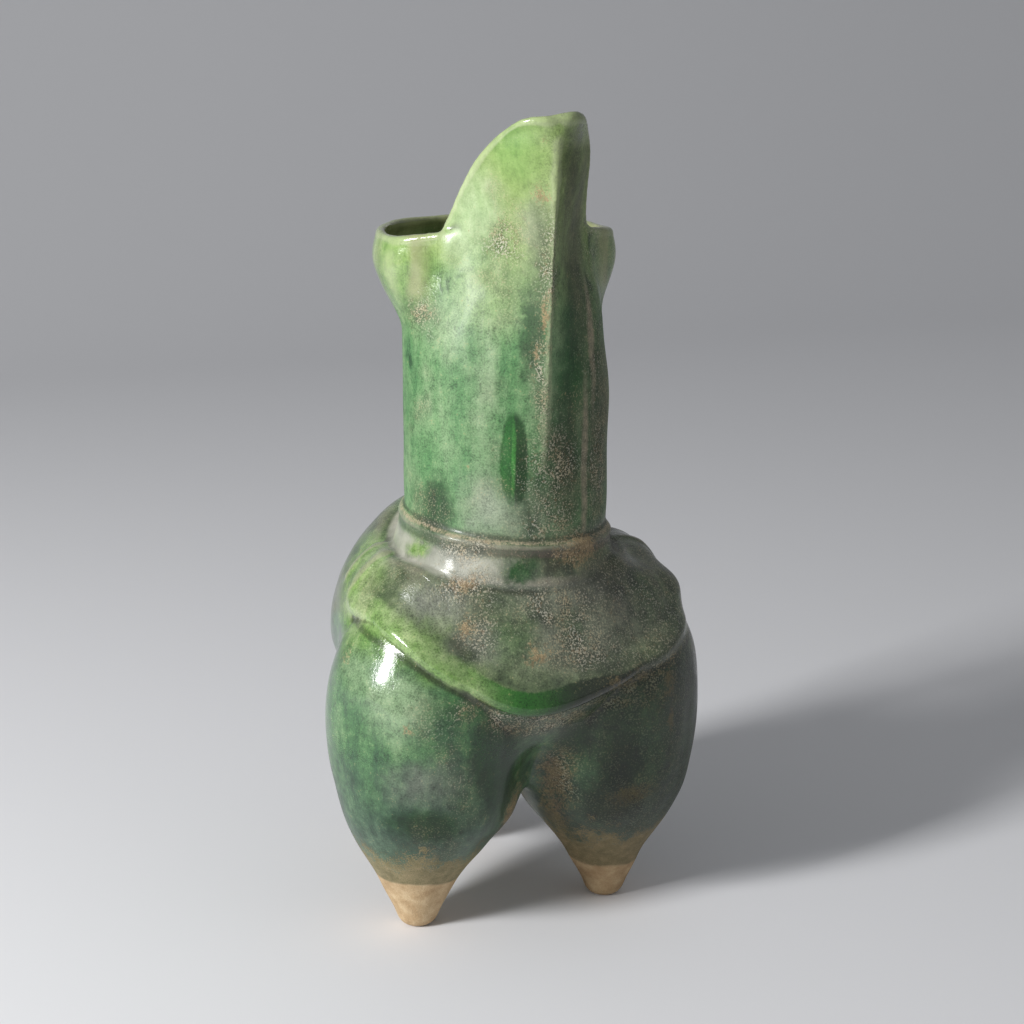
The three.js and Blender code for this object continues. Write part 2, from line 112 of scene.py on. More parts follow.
# A disc is pulled up ring by ring, and each ring is then set to its place by angle and share
def stack(name, rings, sides, place):
    deselect()
    bpy.ops.mesh.primitive_circle_add(vertices=sides, radius=1, fill_type="NGON")
    piece = bpy.context.object
    piece.name = name
    bpy.ops.object.mode_set(mode="EDIT")
    bpy.ops.mesh.select_all(action="SELECT")
    for ring in range(rings - 1):
        bpy.ops.mesh.extrude_region_move(TRANSFORM_OT_translate={"value": (0, 0, 1)})
    bpy.ops.object.mode_set(mode="OBJECT")
    for vertex in piece.data.vertices:
        angle = math.atan2(vertex.co.x, -vertex.co.y)
        vertex.co = landed(place(angle, round(vertex.co.z) / (rings - 1)))
    outwards(piece)
    return piece


# A ring of clay that runs round and meets itself
def hoop(name, turns, sides, place):
    deselect()
    bpy.ops.mesh.primitive_torus_add(major_segments=turns, minor_segments=sides,
                                     major_radius=2, minor_radius=1)
    piece = bpy.context.object
    piece.name = name
    for vertex in piece.data.vertices:
        out = math.hypot(vertex.co.x, vertex.co.y) - 2
        angle = math.atan2(vertex.co.x, -vertex.co.y)
        vertex.co = landed(place(angle, math.atan2(vertex.co.z, out)))
    outwards(piece)
    return piece


def block(name, low, high):
    deselect()
    centre = landed((Vector(low) + Vector(high)) / 2)
    bpy.ops.mesh.primitive_cube_add(size=1, location=centre)
    piece = bpy.context.object
    piece.name = name
    piece.scale = [(b - a) * mm for a, b in zip(low, high)]
    bpy.ops.object.transform_apply(location=True, rotation=True, scale=True)
    return piece


def boolean(piece, tool, operation, keepTool=False):
    only(piece)
    modifier = piece.modifiers.new("luting", "BOOLEAN")
    modifier.operation = operation
    modifier.solver = "MANIFOLD"
    modifier.object = tool
    bpy.ops.object.modifier_apply(modifier=modifier.name)
    if not keepTool:
        bpy.data.objects.remove(tool, do_unlink=True)
    return piece


def joined(pieces):
    first, *others = pieces
    for other in others:
        boolean(first, other, "UNION")
    return first


def modified(piece, kind, **settings):
    only(piece)
    modifier = piece.modifiers.new(kind.lower(), kind)
    for key, value in settings.items():
        setattr(modifier, key, value)
    bpy.ops.object.modifier_apply(modifier=modifier.name)
    return piece


# Neck and beak: one tube, drawn out to a keel at the front
neck = {
    "radius": 36.9, "wall": 4, "foot": 132, "top": 226,
    "keelStart": 175, "keelAtTip": 13.5, "keelPower": 0.8,
    "squeeze": 7, "squeezeStart": 205, "squeezeEnd": 260, "squeezeTurn": (55, 105),
}
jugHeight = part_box("spout")[1].z / mm


def keelRadius(z):
    share = clamp((z - neck["keelStart"]) / (jugHeight - neck["keelStart"]), 0, 1)
    return neck["radius"] + neck["keelAtTip"] * share ** neck["keelPower"]


def tubeRadius(angle, z):
    frontShare = 1 - smoothStep(math.degrees(fromFront(angle)), *neck["squeezeTurn"])
    climb = smoothStep(z, neck["squeezeStart"], neck["squeezeEnd"])
    return neck["radius"] - neck["squeeze"] * frontShare * climb


def neckPoint(angle, z, inset=0):
    radius = tubeRadius(angle, z) - inset
    keel = max(keelRadius(z) - inset, radius)
    tangent = math.acos(radius / keel)
    return around(angle, radius / math.cos(max(0, tangent - fromFront(angle))), z)


def neckTube(name, low, high, inset=0):
    return stack(name, 40, 128, lambda angle, share: neckPoint(angle, lerp(low, high, share), inset))


beak = {
    "back": -12, "wall": 3.6, "halfWidth": 26.2, "lip": 255, "tipSetback": 2.2,
    "bulgeAtLip": 2.0, "bulgeAtTip": 1.6, "blend": 26, "flankShare": 0.7,
    # its free edge: climb from lip to tip, half width, way forward from its back plane to the keel
    "edge": [(0, 1, 0), (0.2, 0.905, 0.11), (0.38, 0.838, 0.25), (0.556, 0.765, 0.428),
             (0.733, 0.655, 0.622), (0.878, 0.505, 0.801), (0.96, 0.385, 0.94), (1, 0.28, 1)],
}


def beakEdge(z):
    climb = (z - beak["lip"]) / (jugHeight - beak["lip"])
    width = through([(row[0], row[1]) for row in beak["edge"]], climb)
    forward = through([(row[0], row[2]) for row in beak["edge"]], climb)
    front = beak["tipSetback"] - keelRadius(jugHeight)
    return Vector((beak["halfWidth"] * width, lerp(beak["back"], front, forward), z))


# Half a section: from the keel at share 0 to the back edge at share 1
def beakPoint(share, z, inset):
    def turnAt(height):
        return math.acos(-beak["back"] / (tubeRadius(0, height) - inset))
    if z <= beak["lip"]:
        corner = neckPoint(turnAt(beak["lip"]), beak["lip"], inset)
        drift = beakPoint(1, beak["lip"] + 0.001, inset) - corner
        fade = share * smoothStep(z, beak["lip"] - 24, beak["lip"])
        return neckPoint(share * turnAt(z), z, inset) + Vector((drift.x, drift.y, 0)) * fade
    edge = beakEdge(z)
    keel = Vector((0, -keelRadius(z), z))
    flank = (edge - keel).normalized()
    inner = keel + Vector((0, inset / flank.x, 0))
    end = inner + flank * (edge - keel).length
    straight = inner.lerp(end, share)
    bulge = lerp(beak["bulgeAtLip"], beak["bulgeAtTip"], (z - beak["lip"]) / (jugHeight - beak["lip"]))
    straight += Vector((-flank.y, flank.x, 0)) * -bulge * math.sin(math.pi * share ** 0.8)
    rounded = neckPoint(share * turnAt(beak["lip"]), beak["lip"], inset)
    last = neckPoint(turnAt(beak["lip"]), beak["lip"], inset)
    rounded = Vector((rounded.x + share * (end.x - last.x), rounded.y + share * (end.y - last.y)
                      + (1 - share) * (inner.y + keelRadius(beak["lip"]) - inset), z))
    return rounded.lerp(straight, smoothStep(z, beak["lip"], beak["lip"] + beak["blend"]))


def beakForm(name, low, high, inset, back):
    def place(angle, share):
        z = lerp(low, high, share)
        turn = fromFront(angle) / math.pi
        side = 1 if math.sin(angle) >= 0 else -1
        if turn <= beak["flankShare"]:
            point = beakPoint(turn / beak["flankShare"], z, inset)
        else:  # straight back from the edge, and then across to the middle
            edge = beakPoint(1, z, inset)
            behind = edge.y if back is None else back
            corner, middle = Vector((edge.x, behind, z)), Vector((0, behind, z))
            way = (turn - beak["flankShare"]) / (1 - beak["flankShare"])
            point = edge.lerp(corner, way / 0.4) if way < 0.4 else corner.lerp(middle, (way - 0.4) / 0.6)
        if turn >= 0.999:
            point.x = 0
        return Vector((side * point.x, point.y, z))
    return stack(name, 70, 120, place)


# Cup behind the beak: it swells and slides back from the neck, and narrows again at the beak
rim = {
    "widest": 246, "radius": 44.4, "setback": 10.5, "inturn": 2.2, "wall": 3.6, "lip": 255,
    "tilt": 0.04, "rise": 3.2, "swellFrom": 221, "pinch": 0.265, "pinchFrom": 2, "pinchTo": -16, "front": -17,
}


def rimPoint(angle, z, inset):
    swell = smoothStep(z, rim["swellFrom"], rim["widest"])
    inturn = rim["inturn"] * clamp((z - rim["widest"]) / (rim["lip"] - rim["widest"]), 0, 1) ** 2
    radius = lerp(tubeRadius(angle, z), rim["radius"], swell) - inturn - inset
    point = around(angle, radius, z, rim["setback"] * swell)
    nearBeak = 1 - smoothStep(point.y, rim["pinchTo"], rim["pinchFrom"])
    point.x *= 1 - rim["pinch"] * swell * nearBeak
    point.z += swell * (rim["tilt"] * (point.y - beak["back"]) + rim["rise"] * nearBeak)
    return point


def rimForm(name, low, high, inset):
    return stack(name, 36, 128, lambda angle, share: rimPoint(angle, lerp(low, high, share), inset))


# Collar: a cuff with a raised upper edge, a hollowed middle and a ridge at its foot
collar = {
    "top": 154, "height": 16, "thickness": 2.4, "tiltBack": 0.08, "tiltSide": -0.062, "cutRadius": 46,
    "profile": [(0, 1.4), (0.1, 2.1), (0.22, 1.9), (0.4, 0.9), (0.6, 0.1), (0.8, -0.5), (0.91, 0), (1, -1.8)],
}


def collarTilt(point):
    return collar["tiltBack"] * point.y + collar["tiltSide"] * point.x


def collarForm(name):
    foot = collar["top"] - collar["height"]

    def place(angle, share):
        radius = neck["radius"] + collar["thickness"] + through(collar["profile"], share)
        point = around(angle, radius, lerp(foot, collar["top"], share))
        point.z += collarTilt(point)
        return point
    return stack(name, 34, 128, place)


# Shoulder: pairs of the way out from neck to body, and of the way up from its foot to its top
shoulder = {
    "halfWidth": 66.8, "front": 55.5, "rear": 80, "offset": 2, "dish": 0.035, "foot": 96,
    "frontTop": 141, "sideTop": 141.8, "rearTop": 157.5,
    "frontProfile": [(1.08, -0.3), (1, -0.07), (0.84, 0.14), (0.66, 0.35), (0.48, 0.56),
                     (0.3, 0.74), (0.17, 0.88), (0.09, 0.95), (0.01, 1), (-0.43, 1)],
    "sideProfile": [(0.96, -0.18), (0.955, 0.11), (0.915, 0.365), (0.835, 0.605), (0.685, 0.8),
                    (0.51, 0.925), (0.327, 1), (0.144, 0.99), (0.006, 0.97), (-0.25, 0.97)],
    "rearProfile": [(0.93, -0.13), (0.96, 0.07), (0.98, 0.27), (0.93, 0.49), (0.82, 0.67),
                    (0.66, 0.82), (0.45, 0.945), (0.22, 1), (0.005, 0.99), (-0.19, 0.99)],
}
lastLevel = len(shoulder["sideProfile"]) - 1


def profilePoint(name, level, inset):
    reach = shoulder[{"front": "front", "side": "halfWidth", "rear": "rear"}[name]]
    profile = shoulder[name + "Profile"]
    out = through([(i, row[0]) for i, row in enumerate(profile)], level)
    up = through([(i, row[1]) for i, row in enumerate(profile)], level)
    return (lerp(neck["radius"], reach, out) - inset,
            lerp(shoulder["foot"], shoulder[name + "Top"], up) - inset)


def barePoint(angle, level, inset=0):
    sideRadius, sideZ = profilePoint("side", level, inset)
    endRadius, endZ = profilePoint("front" if math.cos(angle) > 0 else "rear", level, inset)
    plain = 1 / math.hypot(math.sin(angle) / sideRadius, math.cos(angle) / endRadius)
    dish = 0
    if math.cos(angle) > 0:
        dish = shoulder["dish"] * math.sin(math.pi * level / lastLevel) * math.sin(2 * angle) ** 2
    point = around(angle, plain * (1 - dish), lerp(endZ, sideZ, math.sin(angle) ** 2))
    point.x += shoulder["offset"] * (1 - level / lastLevel)
    return point


# Towards its foot the shoulder swells out, by the skirt's gap, to meet the pouches under it
skirt = {"height": 26, "from": 40, "full": 70, "step": 3}
skirtGaps = {}  # worked out once for each few degrees


def shoulderPoint(angle, level, inset=0):
    point = barePoint(angle, level, inset)
    height = cordonHeight(angle)
    fade = 1 - smoothStep(point.z, height, height + skirt["height"])
    out = Vector((point.x, point.y, 0)).normalized()
    return point + out * skirtGap(angle) * fade


def skirtGap(angle):
    at = (math.degrees(angle) % 360) / skirt["step"]
    low, share = int(at), at - int(at)
    last = 360 // skirt["step"]
    pair = []
    for key in (low % last, (low + 1) % last):
        if key not in skirtGaps:
            turn = math.radians(key * skirt["step"])
            z = cordonHeight(turn)
            reach = max(pouchReach(centre, turn, z) for foot, centre in pouchCentres.values())
            gap = max(0, reach - shoulderAt(turn, z)[0])
            skirtGaps[key] = gap * smoothStep(math.degrees(fromFront(turn)), skirt["from"], skirt["full"])
        pair.append(skirtGaps[key])
    return lerp(pair[0], pair[1], share)


def shoulderForm(name, inset=0):
    return stack(name, 46, 128, lambda angle, share: shoulderPoint(angle, share * lastLevel, inset))


climbSteps = 60
climbs = {}  # the skin from foot to top, once for each quarter of a degree


def shoulderAt(angle, z):  # radius and level where the skin has a height
    key = round(math.degrees(angle) * 4) % 1440
    if key not in climbs:
        climbs[key] = [(barePoint(angle, lastLevel * i / climbSteps), lastLevel * i / climbSteps)
                       for i in range(climbSteps + 1)]
    climb = climbs[key]
    for (low, lowLevel), (high, highLevel) in zip(climb, climb[1:]):
        if high.z >= z and high.z > low.z:
            share = clamp((z - low.z) / (high.z - low.z), 0, 1)
            return math.hypot(*low.lerp(high, share).xy), lerp(lowLevel, highLevel, share)
    return math.hypot(*climb[-1][0].xy), lastLevel


# Cordon: the height of its line by degrees from the front, steep on the left
cordonLine = [
    (-180, 116), (-135, 107), (-105, 122.5), (-86, 125.5), (-72, 124.8), (-57.5, 119.8), (-44.4, 111.8),
    (-38, 107.8), (-32, 104.2), (-22, 99.6), (-12, 97.2), (-4, 97.4), (4.4, 98.8), (17.4, 101.4),
    (29, 103.6), (45, 107.8), (64, 112.4), (92, 116), (135, 107), (180, 116),
]
cordon = {
    "proud": 2.9, "proudBehind": 0.8, "fadeLeft": (60, 110), "fadeRight": (35, 78), "taper": 0.9,
    "halfHeight": 4.6, "above": 10, "aboveRight": 6, "below": 4.4, "turns": 180,
}


def cordonHeight(angle):
    return through(cordonLine, math.degrees(math.atan2(math.sin(angle), math.cos(angle))))


# Pouch legs
pouch = {"radius": 37.5, "widest": 88, "top": 126, "wall": 4, "floor": 26, "footHeight": 22, "footRadius": 6}


def pouchSwell(share):
    return lerp(pouch["footRadius"], pouch["radius"], share)


pouchRows = [  # height, radius, and how much of the lean from the foot to the pouch's centre is done
    (0, 4.4, 0), (0.8, 5.9, 0), (2.8, 7.4, 0), (7, 9.1, 0.02), (14, 12.5, 0.06),
    (22, pouchSwell(0.33), 0.14), (34.3, pouchSwell(0.59), 0.5), (47.5, pouchSwell(0.83), 0.84),
    (60.7, pouchSwell(0.94), 1), (75.7, pouchSwell(0.992), 1),
    (pouch["widest"], pouch["radius"], 1), (100.2, 36, 1), (110, 32.8, 1), (118, 28.7, 1),
    (pouch["top"], 21.5, 1),
]
pouchCentres = {  # across and back, of the foot and of the pouch's middle
    "front_left": ((-38, -7), (-33.5, -10)),
    "front_right": ((38, -7), (33.5, -10)),
    "rear": ((0, 62), (0, 50)),
}
seamY = 10.65  # where the three seams between the pouches meet


def pouchForm(name, foot, centre, low, inset=0):
    def place(angle, share):
        z = lerp(low, pouch["top"], share ** 1.15 if inset == 0 else share)
        radius = through([(row[0], row[1]) for row in pouchRows], z) - inset
        lean = clamp(through([(row[0], row[2]) for row in pouchRows], z), 0, 1)
        x = lerp(foot[0], centre[0], lean)
        return around(angle, radius, z, lerp(foot[1], centre[1], lean)) + Vector((x, 0, 0))
    return stack(name, 64, 112, place)


def pouchReach(centre, angle, z):
    radius = through([(row[0], row[1]) for row in pouchRows], z)
    ray = around(angle, 1, 0)
    ahead = centre[0] * ray.x + centre[1] * ray.y
    beside = centre[0] * ray.y - centre[1] * ray.x
    return ahead + math.sqrt(radius ** 2 - beside ** 2) if abs(beside) < radius else 0


saddle = {"halfWidth": 62, "halfDepth": 66, "z": 112, "depth": 50}


def saddleForm(name, inset=0):
    deselect()
    bpy.ops.mesh.primitive_uv_sphere_add(segments=128, ring_count=64, radius=1)
    piece = bpy.context.object
    piece.name = name
    for vertex in piece.data.vertices:
        vertex.co = landed(Vector((vertex.co.x * (saddle["halfWidth"] - inset),
                                   vertex.co.y * (saddle["halfDepth"] - inset) + seamY,
                                   vertex.co.z * (saddle["depth"] - inset) + saddle["z"])))
    outwards(piece)
    return piece


def cordonSkin(angle, z):
    pouches = (pouchReach(centre, angle, z) for foot, centre in pouchCentres.values())
    return max(shoulderAt(angle, z)[0], *pouches)


cordonSkins = {}  # worked out once for each degree and tenth of a millimetre


# The bead hugs the skin: it thins out upwards over the apron and is undercut along its foot
def cordonPlace(grow=0, sink=1.5):
    def place(angle, turn):
        z = cordonHeight(angle)
        up = lerp(cordon["above"], cordon["aboveRight"], smoothStep(math.degrees(angle), 2, 34))
        rise = math.sin(turn) * ((up if math.sin(turn) > 0 else cordon["below"]) + grow)
        key = (round(math.degrees(angle)), round(rise * 10))
        if key not in cordonSkins:
            skin = cordonSkin(angle, z)
            if rise > 0:
                gap, fall = skirtGap(angle), skin - shoulderAt(angle, z)[0]
                skin = (shoulderAt(angle, z + rise)[0] + gap * (1 - smoothStep(rise, 0, skirt["height"]))
                        + (fall - gap) * (1 - smoothStep(rise, 0, up)))
            cordonSkins[key] = skin
        fade = cordon["fadeLeft" if math.sin(angle) < 0 else "fadeRight"]
        behind = smoothStep(math.degrees(fromFront(angle)), *fade)
        proud = lerp(cordon["proud"], cordon["proudBehind"], behind)
        taper = max(0, 1 - math.sin(turn)) ** cordon["taper"] if math.sin(turn) > 0 else 1
        out = (proud * taper + grow) * math.cos(turn) if math.cos(turn) > 0 else sink * math.cos(turn)
        return around(angle, cordonSkins[key] + out, z + rise)
    return place


def cordonForm(name):
    return hoop(name, cordon["turns"], 32, cordonPlace())


# Handle and flank straps are swept through rounded sections
def flattened(value, power):
    return math.copysign(abs(value) ** power, value)


def strapForm(name, stations, section):
    def place(angle, share):
        station = stations[round(share * (len(stations) - 1))]
        across, out = section(angle, station)
        return station["centre"] + station["across"] * across + station["out"] * out
    return stack(name, len(stations), 32, place)


handle = {
    "width": 20, "thickness": 8.5, "reach": 81, "top": 204, "foot": 148,
    "hollow": 0.9, "flatness": 0.62, "flare": 0.25, "steps": 48,
}


def handleCurve(share):
    bow = handle["reach"] - handle["thickness"] / 2
    t = handle["thickness"]
    points = [
        (neck["radius"] - t, handle["top"]), (neck["radius"] + t, handle["top"] + t * 0.4),
        (lerp(neck["radius"], handle["reach"], 0.6), handle["top"]),
        (bow - t * 0.35, lerp(handle["top"], handle["foot"], 0.25)),
        (bow, lerp(handle["top"], handle["foot"], 0.55)),
        (bow - t * 0.6, handle["foot"] + t), (bow - t * 1.9, handle["foot"] - t),
    ]
    run = [0]
    for a, b in zip(points, points[1:]):
        run.append(run[-1] + math.dist(a, b))
    at = share * run[-1]
    return Vector((0, through([(s, p[0]) for s, p in zip(run, points)], at),
                   through([(s, p[1]) for s, p in zip(run, points)], at)))


def handleForm(name):
    stations = []
    for i in range(handle["steps"] + 1):
        share = i / handle["steps"]
        tangent = (handleCurve(min(1, share + 0.01)) - handleCurve(max(0, share - 0.01))).normalized()
        across = Vector((-1, 0, 0))
        flare = 1 + handle["flare"] * abs(2 * share - 1) ** 3
        stations.append({"centre": handleCurve(share), "across": across, "out": tangent.cross(across),
                         "width": handle["width"] / 2 * flare})

    def section(angle, station):
        across, out = math.sin(angle), math.cos(angle)
        groove = handle["hollow"] * math.exp(-(across / 0.45) ** 2) if abs(out) > 0.5 else 0
        return (station["width"] * flattened(across, handle["flatness"]),
                handle["thickness"] / 2 * flattened(out, handle["flatness"]) - math.copysign(groove, out))
    return strapForm(name, stations, section)


flank = {"angle": 97, "width": 15, "proud": 1.7, "hollow": 0.9, "flatness": 0.7, "steps": 36}


def flankForm(name, side, grow=0):  # grown, it is the cutter round the strap
    angle = side * math.radians(flank["angle"])
    foot = shoulderAt(angle, cordonHeight(angle) + cordon["halfHeight"] / 2)[1]
    stations = []
    for i in range(flank["steps"] + 1):
        level = lerp(foot, lastLevel - 1, i / flank["steps"])
        beside = (shoulderPoint(angle + 0.02, level) - shoulderPoint(angle - 0.02, level)).normalized()
        up = (shoulderPoint(angle, level + 0.3) - shoulderPoint(angle, level - 0.3)).normalized()
        stations.append({"centre": shoulderPoint(angle, level), "across": -beside,
                         "out": beside.cross(up).normalized(), "width": flank["width"] / 2})

    def section(turn, station):
        across, out = math.sin(turn), math.cos(turn)
        groove = flank["hollow"] * math.exp(-(across / 0.5) ** 2) if out > 0.3 and not grow else 0
        return ((station["width"] + grow / 2) * flattened(across, flank["flatness"]),
                (flank["proud"] + grow) * flattened(out, flank["flatness"]) - groove)
    return strapForm(name, stations, section)


def belowCordon(name, lift=0):  # all that lies under the cordon's line
    def place(angle, share):
        if share == 0:
            return around(angle, clear, underFeet)
        return around(angle, clear if share < 1 else 20, cordonHeight(angle) + lift)
    return stack(name, 3, cordon["turns"], place)


def copied(piece):
    deselect()
    twin = piece.copy()
    twin.data = piece.data.copy()
    bpy.context.collection.objects.link(twin)
    return twin


# The shoulder ends and the belly begins along the cordon's line. The hollow keeps what both share
def body(name, inset, lift):
    upper = shoulderForm(name + "Shoulder", inset)
    belly = joined([saddleForm(name + "Saddle", inset)] + [
        pouchForm(name + "Pouch", foot, centre, pouch["floor"] if inset else 0, inset)
        for foot, centre in pouchCentres.values()])
    shared = [boolean(copied(upper), belly, "INTERSECT", keepTool=True)] if inset else []
    boolean(upper, belowCordon("cut", lift), "DIFFERENCE")
    boolean(belly, belowCordon("cut", -lift), "INTERSECT")
    return shared + [upper, belly]


print("forms: throwing, pinching and luting the outer skin")
outer = joined([
    neckTube("clayNeck", neck["foot"], neck["top"] + 1),
    collarForm("clayCollar"),
    *body("clay", 0, -0.4),
    cordonForm("clayCordon"),
    handleForm("clayHandle"),
    flankForm("clayLeftFlank", -1),
    flankForm("clayRightFlank", 1),
])
print("forms: hollowing")
hollow = joined([
    neckTube("hollowNeck", shoulder["foot"] - 10, neck["top"] + 12, neck["wall"]),
    *body("hollow", pouch["wall"], pouch["wall"]),
])
boolean(outer, hollow, "DIFFERENCE")

roll = {"beak": 1.95, "cup": 2.1, "start": 249, "end": 298, "climbSteps": 44, "tipSteps": 9, "smoothings": 8}


# One roll of clay up the beak's left edge, over the tip and down its right edge
def lipRoll(name):
    def middle(share, z):
        return beakPoint(share, z, 0).lerp(beakPoint(share, z, beak["wall"]), 0.5)
    right = [middle(1 - i / roll["tipSteps"], roll["end"]) for i in range(roll["tipSteps"], 0, -1)]
    right += [middle(1, lerp(roll["end"], roll["start"], i / roll["climbSteps"]))
              for i in range(roll["climbSteps"] + 1)]
    right[0].x = 0
    path = [Vector((-point.x, point.y, point.z)) for point in reversed(right[1:])] + right
    for turn in range(roll["smoothings"]):
        path = path[:1] + [(a + b * 2 + c) / 4 for a, b, c in zip(path, path[1:], path[2:])] + path[-1:]
    stations, across = [], Vector((0, 1, 0))
    for i, point in enumerate(path):
        along = (path[min(i + 1, len(path) - 1)] - path[max(i - 1, 0)]).normalized()
        across = (across - along * across.dot(along)).normalized()
        stations.append({"centre": point, "across": across, "out": along.cross(across)})
    return strapForm(name, stations, lambda turn, station: (roll["beak"] * math.sin(turn),
                                                            roll["beak"] * math.cos(turn)))


def cupRoll(name):
    def place(angle, turn):
        z = rim["lip"] - roll["cup"] + 0.4
        middle = rimPoint(angle, z, rim["wall"] / 2)
        outward = (rimPoint(angle, z, 0) - middle).normalized()
        return middle + outward * roll["cup"] * math.cos(turn) + Vector((0, 0, roll["cup"] * math.sin(turn)))
    return hoop(name, 140, 24, place)


print("forms: beak and cup")
beakShell = beakForm("clayBeak", neck["top"] - 2, roll["end"], 0, None)
boolean(beakShell, beakForm("hollowBeak", neck["top"] - 12, jugHeight + 4, beak["wall"], neck["radius"]),
        "DIFFERENCE")
cup = rimForm("clayCup", rim["swellFrom"], rim["lip"], 0)
boolean(cup, rimForm("hollowCup", neck["top"] - 12, rim["lip"] + 4, rim["wall"]), "DIFFERENCE")
boolean(cup, cupRoll("cupRoll"), "UNION")
boolean(cup, block("front", (-clear, -clear, 180), (clear, rim["front"], overTip)), "DIFFERENCE")
jug = joined([outer, beakShell, lipRoll("lipRoll"), cup])
jug.name = "jug"
print("forms:", len(jug.data.polygons), "faces before remeshing")

clayGrain = {"voxel": 0.9, "smoothings": 5}
modified(jug, "REMESH", mode="VOXEL", voxel_size=clayGrain["voxel"] * mm)
modified(jug, "SMOOTH", factor=0.5, iterations=clayGrain["smoothings"])
print("forms:", len(jug.data.polygons), "faces of wet clay")

# Thumb work: places pushed in or left proud, as centre, reach and depth in millimetres
thumbs = [
    ((-40, -28, 128), (15, 13, 11), -1.1),  # the two hollows in the apron's left
    ((-25, -42, 118), (15, 13, 10), -1.3),
    ((9, -44, 122), (17, 13, 12), -0.8),
    ((34, -36, 124), (14, 13, 12), -0.9),
    ((50, -18, 143), (19, 24, 13), -5.6),  # the shoulder falls away steeply on the right, to a corner
    ((42, 10, 149), (24, 30, 16), -4.2),
    ((62, -21, 126), (12, 19, 12), 3.6),
    ((-56, -22, 121), (12, 16, 8), 0.8),
    ((-10.4, -36, 181), (4.6, 8, 17), 0.5),  # the leaf-shaped run of glaze down the neck
    ((0, -50, 297), (5, 9, 7), -0.6),
    ((-60, -30, 70), (16, 16, 20), 0.5),
    ((30, -48, 70), (14, 12, 18), -0.6),
    ((12, 60, 128), (16, 14, 14), -0.8),
    ((-20, 55, 132), (16, 14, 12), -0.6),
    ((0, 30, 175), (16, 12, 18), -0.5),
]
waves = [  # slow unevenness of the wall: direction in turns per millimetre, phase, height in millimetres
    ((0.021, 0.013, 0.009), 0.4, 0.20), ((-0.012, 0.019, 0.014), 2.1, 0.18),
    ((0.008, -0.011, 0.026), 4.4, 0.16), ((0.033, 0.021, -0.024), 1.2, 0.10),
    ((-0.027, 0.036, 0.031), 3.3, 0.08), ((0.05, -0.045, 0.04), 5.2, 0.05),
]


def vectorsOf(piece, kind):  # "co" for the points and "normal" for the normals
    values = np.empty(len(piece.data.vertices) * 3)
    piece.data.vertices.foreach_get(kind, values)
    return values.reshape(-1, 3)


def moved(piece, points):
    piece.data.vertices.foreach_set("co", points.ravel())
    piece.data.update()


def inClay(points):  # back to millimetres round the neck's axis
    return (points - np.array([0, neckY, 0])) / mm


def edgeEnds(piece):
    ends = np.empty(len(piece.data.edges) * 2, dtype=np.int64)
    piece.data.edges.foreach_get("vertices", ends)
    return ends.reshape(-1, 2)


def besides(values, ends):  # for each point, the sum over the points beside it
    return (np.bincount(ends[:, 0], values[ends[:, 1]], len(values))
            + np.bincount(ends[:, 1], values[ends[:, 0]], len(values)))


def averaged(points, ends, rounds):
    count = np.bincount(ends.ravel(), minlength=len(points))[:, None]
    for turn in range(rounds):
        points = np.stack([besides(points[:, axis], ends) for axis in range(3)], axis=1) / count
    return points


def thumbed(piece):
    points, normals = vectorsOf(piece, "co"), vectorsOf(piece, "normal")
    local = inClay(points)
    push = np.zeros(len(points))
    for centre, reach, depth in thumbs:
        away = np.linalg.norm((local - np.array(centre)) / np.array(reach), axis=1)
        # outward from the middle of the body, or on the neck from its axis
        outward = np.array(centre) - np.array([0, 5, centre[2] if centre[2] > 150 else 100])
        side = np.sign(normals @ outward)  # the wall's inner face goes along with its outer face
        push += side * depth * np.clip(1 - away, 0, 1) ** 2 * (1 + 2 * np.clip(away, 0, 1))
    for direction, phase, height in waves:
        push += height * np.sin(fullTurn * (local @ np.array(direction)) + phase)
    push *= np.clip(local[:, 2] / 12, 0, 1)  # the feet stay flat
    points = points + normals * push[:, None] * mm
    # At the beak's tip one flap stands higher, with a dip between the two
    x, climb = local[:, 0], np.clip((local[:, 2] - 268) / 32, 0, 1) ** 2
    points[:, 2] += climb * (0.5 * np.tanh(x / 4) - 0.5 * np.exp(-(x / 2.6) ** 2) - 0.8) * mm
    moved(piece, points)


# Creases rubbed smooth with a wet finger: centre and reach in millimetres, and strokes
rubbed = [
    ((0, -38, 68), (21, 27, 26), 220), ((0, 18, 70), (14, 20, 24), 60),
    ((-29, -13, 240), (8, 9, 16), 14), ((29, -13, 240), (8, 9, 16), 14),
    ((-26, -17, 251), (7, 8, 9), 24), ((26, -17, 251), (7, 8, 9), 24),
    ((-61, 19, 118), (15, 24, 15), 110), ((61, 16, 114), (14, 22, 13), 80),
]


def softened(piece):
    points, ends = vectorsOf(piece, "co"), edgeEnds(piece)
    for centre, reach, strokes in rubbed:
        away = np.linalg.norm((inClay(points) - np.array(centre)) / np.array(reach), axis=1)
        weight = np.clip((1 - away) * 3, 0, 1)
        used, numbers = np.unique(ends[weight[ends].max(axis=1) > 0], return_inverse=True)
        patch, numbers = points[used], numbers.reshape(-1, 2)
        for stroke in range(strokes):
            patch += (averaged(patch, numbers, 1) - patch) * weight[used][:, None]
        points[used] = patch
    moved(piece, points)


def marked(piece, name, values):
    piece.data.attributes.new(name, "FLOAT", "POINT").data.foreach_set("value", values.astype(np.float32))


# How far each place stands out of the clay round it, in tenths of a millimetre
def markEdges(piece):
    points = vectorsOf(piece, "co")
    soft = averaged(points, edgeEnds(piece), 14)
    proud = ((points - soft) * vectorsOf(piece, "normal")).sum(axis=1) / (0.1 * mm)
    marked(piece, "proud", proud)
    print("edges: proud from", round(float(np.percentile(proud, 1)), 2),
          "to", round(float(np.percentile(proud, 99)), 2))


